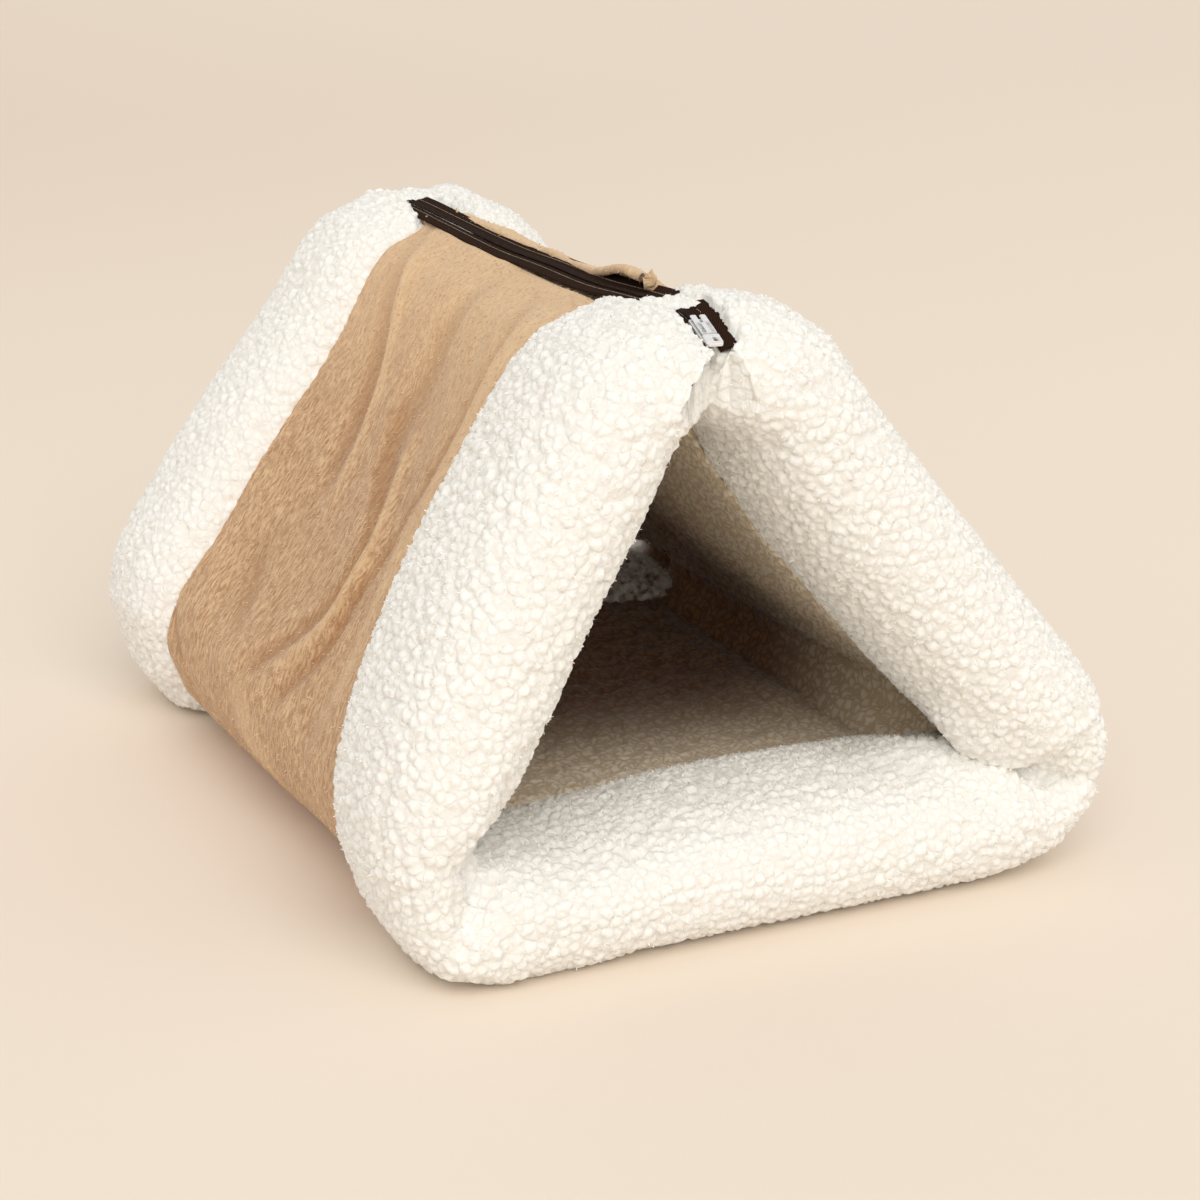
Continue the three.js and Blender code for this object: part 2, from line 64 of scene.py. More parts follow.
def linear(red: int, green: int, blue: int) -> Colour:
    """The scene-linear colour of a display colour.

    Args:
        red: its red in steps of 0 to 255.
        green: its green.
        blue: its blue.

    Returns:
        The colour, with its alpha.
    """

    def one(step: int) -> float:
        """One channel, by the display curve."""
        share = step / 255
        return share / 12.92 if share <= 0.04045 else ((share + 0.055) / 1.055) ** 2.4

    return one(red), one(green), one(blue), 1.0


class Canvas:
    """Adds nodes to a shader or geometry tree. A value given as a socket is linked, and any other is set."""

    def __init__(self, tree: NodeTree) -> None:
        """Keeps the tree."""
        self.tree = tree

    def give(self, socket: NodeSocket, value: object) -> None:
        """Links or sets one input."""
        if isinstance(value, NodeSocket):
            self.tree.links.new(value, socket)
        else:
            socket.default_value = value

    def add(self, kind: str, values: Values | None = None, **settings: object) -> Node:
        """Adds a node.

        Args:
            kind: the node's type name.
            values: its inputs by name or place.
            settings: its own properties.

        Returns:
            The node.
        """
        node = self.tree.nodes.new(kind)
        for name, value in settings.items():
            setattr(node, name, value)
        for key, value in (values or {}).items():
            self.give(node.inputs[key], value)
        return node

    def math(self, operation: str, *values: object) -> NodeSocket:
        """A sum, product or other plain operation."""
        return self.add("ShaderNodeMath", dict(enumerate(values)), operation=operation).outputs[0]

    def times(self, first: object, second: object) -> NodeSocket:
        """A product of two numbers."""
        return self.math("MULTIPLY", first, second)

    def vector(self, operation: str, *values: object) -> NodeSocket:
        """A plain operation on vectors. SCALE takes its factor last."""
        slots = (0, 3) if operation == "SCALE" else range(len(values))
        return self.add("ShaderNodeVectorMath", dict(zip(slots, values)), operation=operation).outputs[0]

    def joint(self, **axes: object) -> NodeSocket:
        """A vector put together from its axes."""
        return self.add("ShaderNodeCombineXYZ", axes).outputs[0]

    def axis(self, vector: object, name: str) -> NodeSocket:
        """One axis of a vector."""
        return self.add("ShaderNodeSeparateXYZ", {0: vector}).outputs[name]

    def noise(self, place: object, scale: object, detail: float) -> Node:
        """Soft random noise."""
        return self.add("ShaderNodeTexNoise", {"Vector": place, "Scale": scale, "Detail": detail})

    def chance(self, low: object, high: object, seed: object) -> NodeSocket:
        """A random number for each point."""
        inputs = {2: low, 3: high, "Seed": seed}
        return self.add("FunctionNodeRandomValue", inputs, data_type="FLOAT").outputs[1]

    def ease(self, value: object, low: object, high: object) -> NodeSocket:
        """0 below low, 1 above high, and smooth between them."""
        inputs = {"Value": value, "From Min": low, "From Max": high}
        return self.add("ShaderNodeMapRange", inputs, interpolation_type="SMOOTHSTEP").outputs["Result"]

    def blend(self, share: object, first: object, second: object) -> NodeSocket:
        """A colour between two others."""
        inputs = {0: share, 6: first, 7: second}
        return self.add("ShaderNodeMix", inputs, data_type="RGBA").outputs[2]

    def drift(self, place: object, scale: object, far: object) -> NodeSocket:
        """A place moved a little at random.

        Args:
            place: where it was.
            scale: how closely the moves change.
            far: how far it may move, from one end to the other.

        Returns:
            Where it is.
        """
        wander = self.noise(place, scale, 1.0).outputs["Color"]
        shift = self.vector("SCALE", self.vector("SUBTRACT", wander, (0.5, 0.5, 0.5)), far)
        return self.vector("ADD", place, shift)


@dataclass(frozen=True)
class Curls:
    """How the fleece's round curls are packed.

    Args:
        wander: how far they stray from even cells, as a share of a cell.
        uneven: how unevenly the cells are spread, from 0 to 1.
        fall: how fast a curl falls off from its middle.
        rim: how wide its rim is, as a share of a cell.
        crease: how wide the tinted crease beside it is.
        ball: the share of its height that is round, and not rim.
        level: the height that lies on the roll's own surface.
    """

    wander: float = 0.9
    uneven: float = 0.82
    fall: float = 1.25
    rim: float = 0.24
    # crease: how wide the painted shade in the crease beside it is.
    crease: float = 0.3
    ball: float = 0.55
    level: float = 0.75

    def field(self, canvas: Canvas, place: object, cell: object) -> tuple[NodeSocket, NodeSocket]:
        """Packs the curls in either kind of tree, so that relief and colour agree.

        Args:
            canvas: the tree to add to.
            place: where, in metres.
            cell: a curl's usual width in metres.

        Returns:
            How high the pile stands, and how deep the place lies in a crease, both from 0 to 1.
        """
        pitch = canvas.math("DIVIDE", 1.0, cell)
        moved = canvas.drift(place, canvas.times(pitch, self.wander), canvas.times(cell, self.wander))
        cells = {"Vector": moved, "Scale": pitch, "Randomness": self.uneven}
        edge = canvas.add("ShaderNodeTexVoronoi", cells, feature="DISTANCE_TO_EDGE").outputs["Distance"]
        middle = canvas.add("ShaderNodeTexVoronoi", cells, feature="F1").outputs["Distance"]
        drop = canvas.math("POWER", canvas.times(middle, self.fall), 2.0)
        ball = canvas.math("SQRT", canvas.math("MAXIMUM", canvas.math("SUBTRACT", 1.0, drop), 0.0))
        rim = canvas.times(canvas.ease(edge, 0.0, self.rim), 1.0 - self.ball)
        high = canvas.math("ADD", canvas.times(ball, self.ball), rim)
        return high, canvas.math("SUBTRACT", 1.0, canvas.ease(edge, 0.0, self.crease))


CURLS = Curls()


class Tree:
    """A Geometry Nodes tree with named inputs, ending in Realize Instances and Set Material."""

    def __init__(self, name: str) -> None:
        """Starts the tree with its mesh and material inputs."""
        self.group = bpy.data.node_groups.new(name, "GeometryNodeTree")
        self.canvas = Canvas(self.group)
        self.group.interface.new_socket("Geometry", in_out="OUTPUT", socket_type="NodeSocketGeometry")
        self.start = self.group.nodes.new("NodeGroupInput")
        self.mesh = self.input("Geometry", "NodeSocketGeometry")
        self.finish = self.input("Finish", "NodeSocketMaterial")

    def input(self, name: str, kind: str = "NodeSocketFloat") -> NodeSocket:
        """A named input of the tree."""
        self.group.interface.new_socket(name, in_out="INPUT", socket_type=kind)
        return self.start.outputs[name]

    def end(self, geometry: NodeSocket) -> None:
        """Closes the tree on this geometry.

        Args:
            geometry: what the tree has made.
        """
        smooth = self.canvas.add("GeometryNodeSetShadeSmooth", {"Geometry": geometry})
        real = self.canvas.add("GeometryNodeRealizeInstances", {"Geometry": smooth.outputs[0]})
        inputs = {"Geometry": real.outputs[0], "Material": self.finish}
        dressed = self.canvas.add("GeometryNodeSetMaterial", inputs)
        self.canvas.add("NodeGroupOutput", {0: dressed.outputs[0]})

    def grow(self, source: Object, sizes: Mapping[str, object]) -> Mesh:
        """Runs the tree on an object.

        Args:
            source: the object whose mesh goes in.
            sizes: the named inputs.

        Returns:
            The result as a plain mesh.
        """
        modifier = source.modifiers.new(self.group.name, "NODES")
        modifier.node_group = self.group
        for item in self.group.interface.items_tree:
            if item.item_type == "SOCKET" and item.in_out == "INPUT" and item.name in sizes:
                modifier[item.identifier] = sizes[item.name]
        mesh = settled(source)
        source.modifiers.remove(modifier)
        return mesh


def settled(source: Object) -> Mesh:
    """The object's mesh with its modifiers in it.

    Args:
        source: the object.

    Returns:
        The mesh.
    """
    bpy.context.view_layer.update()
    graph = bpy.context.evaluated_depsgraph_get()
    return bpy.data.meshes.new_from_object(source.evaluated_get(graph))


def pile_tree() -> Tree:
    """Raises the fleece's curls, and keeps where each point was before, for the colour to follow.

    Returns:
        The tree.
    """
    tree = Tree("fleece_pile")
    cell, height = tree.input("Curl"), tree.input("Height")
    canvas = tree.canvas
    place = canvas.add("GeometryNodeInputPosition").outputs[0]
    keep = {"Geometry": tree.mesh, "Name": "rest", "Value": place}
    kept = canvas.add("GeometryNodeStoreNamedAttribute", keep, data_type="FLOAT_VECTOR")
    high, _ = CURLS.field(canvas, place, cell)
    lift = canvas.times(canvas.math("SUBTRACT", high, CURLS.level), height)
    offset = canvas.vector("SCALE", canvas.add("GeometryNodeInputNormal").outputs[0], lift)
    raised = canvas.add("GeometryNodeSetPosition", {"Geometry": kept.outputs[0], "Offset": offset})
    tree.end(raised.outputs[0])
    return tree


@dataclass(frozen=True)
class Strand:
    """The form that all loose fibres share.

    Args:
        under: the upward part of a face's direction below which it has none.
        leans: the least and most of the set lean that one takes.
        sizes: the same for its size.
        bow: where its middle goes aside and up, as shares of its length.
        tip: where its tip goes aside.
        taper: how much of its width it loses by the tip.
        root: how far its root stands under the surface, in metres.
    """

    under: float = -0.6
    leans: tuple[float, float] = (0.8, 1.15)
    sizes: tuple[float, float] = (0.6, 1.25)
    bow: tuple[float, float] = (0.25, 0.6)
    tip: float = -0.1
    taper: float = 0.8
    root: float = 0.2 * MM


def fibre_strip(canvas: Canvas, form: Strand, long: NodeSocket, wide: NodeSocket) -> NodeSocket:
    """One bowed and tapered fibre as a flat strip.

    Args:
        canvas: the tree to add to.
        form: its form.
        long: its length.
        wide: its width at the root.

    Returns:
        Its mesh.
    """
    bow = {
        "Resolution": 2,
        "Start": (0.0, 0.0, -form.root),
        "Middle": canvas.joint(X=canvas.times(long, form.bow[0]), Z=canvas.times(long, form.bow[1])),
        "End": canvas.joint(X=canvas.times(long, form.tip), Z=long),
    }
    line = canvas.add("GeometryNodeCurveQuadraticBezier", bow)
    along = canvas.add("GeometryNodeSplineParameter").outputs["Factor"]
    taper = canvas.math("SUBTRACT", 1.0, canvas.times(along, form.taper))
    thin = canvas.add("GeometryNodeSetCurveRadius", {"Curve": line.outputs[0], "Radius": taper})
    half = canvas.times(wide, 0.5)
    ends = {"Start": canvas.joint(X=canvas.times(half, -1.0)), "End": canvas.joint(X=half)}
    strip = canvas.add("GeometryNodeCurvePrimitiveLine", ends)
    both = {"Curve": thin.outputs[0], "Profile Curve": strip.outputs[0]}
    return canvas.add("GeometryNodeCurveToMesh", both).outputs[0]


def fibre_tree(form: Strand) -> Tree:
    """Stands or lays short fibres on a surface, each with a random tone.

    Args:
        form: the fibres' form.

    Returns:
        The tree.
    """
    tree = Tree("short_fibres")
    canvas = tree.canvas
    density, long, wide = (tree.input(name) for name in ("Density", "Long", "Wide"))
    lean, spin, seed = tree.input("Lean"), tree.input("Spin"), tree.input("Seed", "NodeSocketInt")
    seeds = [seed] + [canvas.math("ADD", seed, step) for step in (1.0, 2.0, 3.0)]
    facing = canvas.axis(canvas.add("GeometryNodeInputNormal").outputs[0], "Z")
    seen = canvas.math("GREATER_THAN", facing, form.under)
    spots = {"Mesh": tree.mesh, "Selection": seen, "Density": density, "Seed": seed}
    spread = canvas.add("GeometryNodeDistributePointsOnFaces", spots, distribute_method="RANDOM")
    hang = {"Rotation": spread.outputs["Rotation"], "Vector": (0.0, 0.0, -1.0)}
    down = canvas.add("FunctionNodeAlignRotationToVector", hang, axis="X", pivot_axis="Z")
    turn = canvas.chance(canvas.times(spin, -1.0), spin, seeds[0])
    tip = canvas.chance(canvas.times(lean, form.leans[0]), canvas.times(lean, form.leans[1]), seeds[1])
    bend = canvas.add("FunctionNodeEulerToRotation", {0: canvas.joint(Y=tip, Z=turn)})
    turns = {"Rotation": down.outputs[0], "Rotate By": bend.outputs[0]}
    placed = canvas.add("FunctionNodeRotateRotation", turns, rotation_space="LOCAL")
    stand = {
        "Points": spread.outputs["Points"],
        "Instance": fibre_strip(canvas, form, long, wide),
        "Rotation": placed.outputs[0],
        "Scale": canvas.chance(*form.sizes, seeds[2]),
    }
    stood = canvas.add("GeometryNodeInstanceOnPoints", stand)
    tone = {"Geometry": stood.outputs[0], "Name": "tone", "Value": canvas.chance(0.0, 1.0, seeds[3])}
    toned = canvas.add("GeometryNodeStoreNamedAttribute", tone, data_type="FLOAT", domain="INSTANCE")
    tree.end(toned.outputs[0])
    return tree


def row_tree() -> Tree:
    """Sets rounded grains along a line, for coil teeth and stitches.

    Returns:
        The tree.
    """
    tree = Tree("grain_row")
    canvas = tree.canvas
    pitch, long, thick, turn = (tree.input(name) for name in ("Pitch", "Long", "Thick", "Turn"))
    line = canvas.add("GeometryNodeMeshToCurve", {"Mesh": tree.mesh})
    spaced = {"Curve": line.outputs[0], "Length": pitch}
    points = canvas.add("GeometryNodeCurveToPoints", spaced, mode="LENGTH")
    grain = canvas.add("GeometryNodeMeshUVSphere", {"Segments": 6, "Rings": 4, "Radius": 0.5})
    size = canvas.joint(X=long, Y=thick, Z=thick)
    shaped = canvas.add("GeometryNodeTransform", {"Geometry": grain.outputs[0], "Scale": size})
    spin = canvas.joint(Z=turn)
    turned = canvas.add("GeometryNodeTransform", {"Geometry": shaped.outputs[0], "Rotation": spin})
    none = canvas.add("FunctionNodeEulerToRotation")
    follow = {"Rotation": none.outputs[0], "Vector": points.outputs["Tangent"]}
    facing = canvas.add("FunctionNodeAlignRotationToVector", follow, axis="X")
    lay = {"Points": points.outputs["Points"], "Instance": turned.outputs[0], "Rotation": facing.outputs[0]}
    tree.end(canvas.add("GeometryNodeInstanceOnPoints", lay).outputs[0])
    return tree


def shader_group(
    name: str, inputs: Mapping[str, str], outputs: Mapping[str, str]
) -> tuple[NodeTree, Canvas, Node, Node]:
    """Starts a shared shader effect.

    Args:
        name: the group's name.
        inputs: socket types by name.
        outputs: socket types by name.

    Returns:
        The group, a canvas on it, and its input and output nodes.
    """
    group = bpy.data.node_groups.new(name, "ShaderNodeTree")
    for label, kind in inputs.items():
        group.interface.new_socket(label, in_out="INPUT", socket_type=kind)
    for label, kind in outputs.items():
        group.interface.new_socket(label, in_out="OUTPUT", socket_type=kind)
    canvas = Canvas(group)
    return group, canvas, canvas.add("NodeGroupInput"), canvas.add("NodeGroupOutput")


def curl_group() -> NodeTree:
    """The curls of the fleece as a shared effect: their relief, and their creases, where the colour paints
    shade.

    Returns:
        The group.
    """
    sizes, fields = {"Place": VECTOR, "Curl": FLOAT}, {"High": FLOAT, "Crease": FLOAT}
    group, canvas, start, end = shader_group("fleece_curls", sizes, fields)
    values = CURLS.field(canvas, *(start.outputs[name] for name in sizes))
    for name, value in zip(fields, values):
        canvas.give(end.inputs[name], value)
    return group


def nap_group() -> NodeTree:
    """Fine brushed fibres as a shared effect: streaks along the second axis, bent a little at random.

    Returns:
        The group.
    """
    sizes = {"Place": VECTOR, "Fine": FLOAT, "Stretch": FLOAT, "Stray": FLOAT}
    group, canvas, start, end = shader_group("brushed_nap", sizes, {"Streak": FLOAT, "Patch": FLOAT})
    place, fine, stretch, stray = (start.outputs[name] for name in sizes)
    bends, patches = 90.0, 26.0
    moved = canvas.drift(place, bends, stray)
    along = canvas.vector("MULTIPLY", moved, canvas.joint(X=stretch, Y=1.0, Z=1.0))
    streak = canvas.noise(along, canvas.math("DIVIDE", 1.0, fine), 2.0)
    streak.inputs["Roughness"].default_value = 0.65
    patch = canvas.noise(place, patches, 2.0)
    canvas.give(end.inputs["Streak"], canvas.ease(streak.outputs["Fac"], 0.3, 0.7))
    canvas.give(end.inputs["Patch"], canvas.ease(patch.outputs["Fac"], 0.32, 0.68))
    return group


class Finish:
    """A material with its Principled shader and a canvas for the rest."""

    def __init__(self, name: str, roughness: float, metallic: float = 0.0) -> None:
        """Starts the material.

        Args:
            name: the material's name.
            roughness: how matt it is.
            metallic: 1 for metal.
        """
        self.material = bpy.data.materials.new(name)
        self.material.use_nodes = True
        self.canvas = Canvas(self.material.node_tree)
        self.shader = self.material.node_tree.nodes["Principled BSDF"]
        self.set("Roughness", roughness)
        self.set("Metallic", metallic)

    def set(self, name: str, value: object) -> None:
        """Gives one of the shader's own inputs a value that is the same all over."""
        self.shader.inputs[name].default_value = value

    def sheen(self, weight: float, tint: Colour) -> None:
        """The soft glow of a pile at a low angle.

        Args:
            weight: how strong it is.
            tint: its colour.
        """
        self.set("Sheen Weight", weight)
        self.set("Sheen Roughness", 0.5)
        self.set("Sheen Tint", tint)

    def colour(self, value: object) -> None:
        """Sets or links the base colour."""
        self.canvas.give(self.shader.inputs["Base Color"], value)

    def bump(self, height: NodeSocket, distance: float, strength: float = 1.0) -> None:
        """Relief too fine for the mesh.

        Args:
            height: the relief, from 0 to 1.
            distance: how high 1 stands, in metres.
            strength: how much of it shows.
        """
        inputs = {"Height": height, "Distance": distance, "Strength": strength}
        node = self.canvas.add("ShaderNodeBump", inputs)
        self.canvas.give(self.shader.inputs["Normal"], node.outputs[0])

    def group(self, group: NodeTree, values: Mapping[str, object]) -> Node:
        """Places a shared effect with its own values."""
        return self.canvas.add("ShaderNodeGroup", values, node_tree=group)

    def kept(self, name: str, output: str = "Fac") -> NodeSocket:
        """A value kept on the mesh under this name."""
        return self.canvas.add("ShaderNodeAttribute", attribute_name=name).outputs[output]

    def place(self) -> NodeSocket:
        """The place on the object itself."""
        return self.canvas.add("ShaderNodeTexCoord").outputs["Object"]


@dataclass(frozen=True)
class Fleece:
    """The white pile of curls, with shade painted into its creases and, where given, the tunnel's deep shade
    painted on.

    Args:
        name: the material's name.
        tip: colour of the curls.
        root: colour painted in the creases between them, as their shade.
        curl: a curl's usual width in metres.
        crease: how strongly the painted shade in the creases shows, from 0 to 1.
        shaded_tip: colour painted on the curls as the deep shade of the tunnel, or None.
        shaded_root: colour painted in the creases in that shade.
        shade_depth: where along the tunnel the painted deep shade begins and is full, in metres.
        throat: whether only the side that faces the tunnel takes the painted shade.
        slant: how much further along each step up counts, elsewhere.
        fuzz: how closely the fuzz on the curls changes, and its share of their relief.
        glow: how far light goes inside the pile, by colour, in metres.
    """

    name: str
    tip: Colour
    root: Colour
    curl: float
    crease: float
    shaded_tip: Colour | None = None
    shaded_root: Colour | None = None
    shade_depth: tuple[float, float] = (-0.2, 0.06)
    throat: bool = False
    slant: float = 0.9
    fuzz: tuple[float, float] = (900.0, 0.3)
    glow: tuple[float, float, float] = (0.004, 0.0036, 0.0032)

    def make(self, curls: NodeTree) -> Material:
        """Builds the material from the shared curls.

        Args:
            curls: the curls' shared effect.

        Returns:
            The material.
        """
        finish = Finish(self.name, roughness=0.95)
        canvas = finish.canvas
        rest = finish.kept("rest", "Vector")
        pile = finish.group(curls, {"Place": rest, "Curl": self.curl})
        # Painted shade: the creases between the curls take the darker root colour.
        low = canvas.times(pile.outputs["Crease"], self.crease)
        colour = canvas.blend(low, self.tip, self.root)
        # Painted shade: deep in the tunnel, or on the far border's side that faces it, curls and creases take
        # darker browns that stand for the shade there.
        if self.shaded_tip is not None:
            along = canvas.axis(rest, "Y")
            if self.throat:
                share = canvas.times(canvas.ease(along, *self.shade_depth), finish.kept("inward_shade"))
            else:
                up = canvas.times(canvas.axis(rest, "Z"), self.slant)
                share = canvas.ease(canvas.math("SUBTRACT", along, up), *self.shade_depth)
            colour = canvas.blend(share, colour, canvas.blend(low, self.shaded_tip, self.shaded_root))
        finish.colour(colour)
        scale, share = self.fuzz
        fuzz = canvas.noise(rest, scale, 1.0).outputs["Fac"]
        relief = canvas.math("ADD", pile.outputs["High"], canvas.times(fuzz, share))
        finish.bump(relief, distance=1.5 * MM, strength=0.42)
        finish.set("Specular IOR Level", 0.1)
        finish.sheen(0.2, (1.0, 0.99, 0.97, 1.0))
        finish.shader.subsurface_method = "BURLEY"
        finish.set("Subsurface Weight", 0.2)
        finish.set("Subsurface Radius", self.glow)
        finish.set("Subsurface Scale", 1.0)
        return finish.material


@dataclass(frozen=True)
class Plush:
    """Short brushed plush: a warm ground with lighter and darker fibres lying down its slopes, with light
    painted on its folds' ridges and shade painted in their troughs.

    Args:
        name: the material's name.
        ground: the usual colour.
        light: colour of raised, brushed fibres, and of the light painted on the folds' ridges.
        dark: colour between the fibres, of the cloth low down, and of the shade painted in the folds'
            troughs.
        paler_above: the heights between which it grows paler towards the zip, in metres.
    """

    name: str
    ground: Colour
    light: Colour
    dark: Colour
    paler_above: tuple[float, float] = (0.2, 0.34)

    def make(self, nap: NodeTree) -> Material:
        """Builds the material, whose streaks follow the cloth's own UV map.

        Args:
            nap: the fibres' shared effect.

        Returns:
            The material.
        """
        finish = Finish(self.name, roughness=0.85)
        canvas = finish.canvas
        cloth = canvas.add("ShaderNodeUVMap", uv_map="cloth").outputs[0]
        fine = finish.group(nap, {"Place": cloth, "Fine": 0.0021, "Stretch": 0.3, "Stray": 0.006})
        crumb = finish.group(nap, {"Place": cloth, "Fine": 0.0011, "Stretch": 0.7, "Stray": 0.004})
        fold = finish.kept("fold")
        # The cloth is made darker low down and paler higher up, towards the zip.
        top = canvas.ease(canvas.axis(finish.place(), "Z"), *self.paler_above)
        layers = (
            (fine.outputs["Streak"], 0.9, self.light),
            (crumb.outputs["Streak"], 0.4, self.ground),
            (fine.outputs["Patch"], 0.2, self.dark),
            # Painted light and shade: the folds' ridges are painted lighter and their troughs darker.
            (canvas.ease(fold, 0.0, 1.0), 0.45, self.light),
            (canvas.ease(fold, 0.0, -1.0), 0.6, self.dark),
            (top, 0.55, self.light),
        )
        colour = canvas.blend(canvas.times(top, 0.6), self.dark, self.ground)
        for mask, share, tint in layers:
            colour = canvas.blend(canvas.times(mask, share), colour, tint)
        finish.colour(colour)
        relief = canvas.math("ADD", fine.outputs["Streak"], canvas.times(crumb.outputs["Streak"], 0.6))
        finish.bump(relief, distance=0.5 * MM, strength=0.7)
        finish.sheen(0.3, (1.0, 0.88, 0.76, 1.0))
        return finish.material


@dataclass(frozen=True)
class Fibre:
    """Loose fibres of a pile, each a little lighter or darker by its own tone.

    Args:
        name: the material's name.
        light: colour of the lightest.
        dark: colour of the darkest.
    """

    name: str
    light: Colour
    dark: Colour

    def make(self) -> Material:
        """Builds the material from the tone kept on each fibre.

        Returns:
            The material.
        """
        finish = Finish(self.name, roughness=0.8)
        finish.colour(finish.canvas.blend(finish.kept("tone"), self.dark, self.light))
        finish.sheen(0.3, (1.0, 0.95, 0.9, 1.0))
        return finish.material


@dataclass(frozen=True)
class Twill:
    """Woven zip tape with fine slanting ribs.

    Args:
        name: the material's name.
        thread: the ribs' colour.
        gap: the colour between ribs.
        pitch: from rib to rib in metres.
        slant: the ribs' angle in degrees.
    """

    name: str
    thread: Colour
    gap: Colour
    pitch: float
    slant: float = 35.0

    def make(self) -> Material:
        """Builds the material.

        Returns:
            The material.
        """
        finish = Finish(self.name, roughness=0.95)
        finish.set("Specular IOR Level", 0.05)
        canvas = finish.canvas
        turn = {"Vector": finish.place(), "Rotation": (0.0, 0.0, math.radians(self.slant))}
        turned = canvas.add("ShaderNodeMapping", turn).outputs[0]
        wave = {"Vector": turned, "Scale": 0.32 / self.pitch, "Distortion": 0.6}
        ribs = canvas.add("ShaderNodeTexWave", wave)
        finish.colour(canvas.blend(ribs.outputs["Fac"], self.gap, self.thread))
        finish.bump(ribs.outputs["Fac"], distance=0.25 * MM, strength=0.6)
        return finish.material


@dataclass(frozen=True)
class Hard:
    """Moulded nylon or plated metal, lightly uneven.

    Args:
        name: the material's name.
        colour: its colour.
        worn: its colour where it is rubbed.
        roughness: how matt it is.
        metallic: 1 for metal.
        shine: how much a surface that is not metal reflects.
    """

    name: str
    colour: Colour
    worn: Colour
    roughness: float
    metallic: float = 0.0
    shine: float = 0.5

    def make(self) -> Material:
        """Builds the material.

        Returns:
            The material.
        """
        finish = Finish(self.name, self.roughness, self.metallic)
        finish.set("Specular IOR Level", self.shine)
        canvas = finish.canvas
        rub = canvas.noise(finish.place(), 700.0, 3.0)
        share = canvas.ease(rub.outputs["Fac"], 0.4, 0.7)
        finish.colour(canvas.blend(share, self.colour, self.worn))
        rough = canvas.math("ADD", canvas.times(share, 0.12), self.roughness - 0.05)
        canvas.give(finish.shader.inputs["Roughness"], rough)
        finish.bump(rub.outputs["Fac"], distance=0.05 * MM, strength=0.3)
        return finish.material


class Workshop:
    """What every sub-assembly is made with: the frame's nodes, the trees and the materials."""

    def __init__(self) -> None:
        """Builds the shared trees, groups and finishes once."""
        curls, nap = curl_group(), nap_group()
        self.pile, self.fibres, self.row = pile_tree(), fibre_tree(Strand()), row_tree()
        # The fleece's second colour is shade painted into the creases between its curls.
        white, crease_shade = linear(247, 246, 242), linear(234, 230, 221)
        # The lining is the same white fleece: its warmer colour is painted warm bounce light inside the
        # tunnel, and its second colour is shade painted into its creases.
        warm_bounce_wool, shade = linear(246, 234, 214), linear(208, 186, 152)
        # Darker browns painted on curls and creases as the deep shade inside the tunnel.
        deep = {"shaded_tip": linear(124, 87, 54), "shaded_root": linear(88, 58, 34)}
        # Where that painted shade begins and is full: on the far border's side facing the tunnel, and along
        # the lining.
        in_throat, in_tunnel = (0.25, 0.215), (-0.18, 0.0)
        self.fleece = Fleece("white_fleece", white, crease_shade, CURL, 0.6).make(curls)
        far = Fleece("far_fleece_painted_shade", white, crease_shade, CURL, 0.6, **deep, shade_depth=in_throat, throat=True)
        self.far_fleece_painted_shade = far.make(curls)
        lining = Fleece("lining_fleece", warm_bounce_wool, shade, LINING_CURL, 0.8, **deep, shade_depth=in_tunnel)
        self.lining = lining.make(curls)
        ground, light, dark = linear(200, 156, 111), linear(238, 204, 160), linear(160, 112, 70)
        self.plush = Plush("tan_plush", ground, light, dark).make(nap)
        self.tuft = Fibre("fleece_tufts", linear(254, 252, 248), linear(246, 242, 233)).make()
        self.hair = Fibre("plush_hair", linear(238, 206, 164), linear(182, 137, 95)).make()
        self.twill = Twill("zip_twill", linear(58, 38, 27), linear(34, 22, 16), 1.1 * MM).make()
        self.nylon = Hard("coil_nylon", linear(34, 23, 18), linear(58, 42, 33), 0.75, shine=0.12).make()
        thread, worn = linear(206, 190, 168), linear(150, 130, 108)
        self.thread = Hard("stitch_thread", thread, worn, 0.9, shine=0.05).make()
        plate, rubbed = linear(252, 252, 252), linear(244, 244, 244)
        self.nickel = Hard("slider_nickel", plate, rubbed, 0.22, 0.55).make()

    def node(self, name: str) -> Object:
        """A node of the frame."""
        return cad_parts[name]


def link(name: str, mesh: Mesh, material: Material | None = None) -> Object:
    """Puts a mesh in the scene at the origin, under this name.

    Args:
        name: its name.
        mesh: the mesh.
        material: its only material, or None to keep what it has.

    Returns:
        The new object.
    """
    mesh.name = name
    shown = bpy.data.objects.new(name, mesh)
    bpy.context.scene.collection.objects.link(shown)
    if material is not None:
        mesh.materials.clear()
        mesh.materials.append(material)
    return shown


def fit(shown: Object, nodes: Sequence[str] = ()) -> Object:
    """Rides a finished piece on the body and hides the nodes it stands for.

    Args:
        shown: the piece.
        nodes: the nodes it stands for.

    Returns:
        The piece.
    """
    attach(shown, BODY)
    if nodes:
        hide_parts(*nodes)
    count = sum(len(face.vertices) - 2 for face in shown.data.polygons)
    log.info("%s: %d triangles", shown.name, count)
    return shown


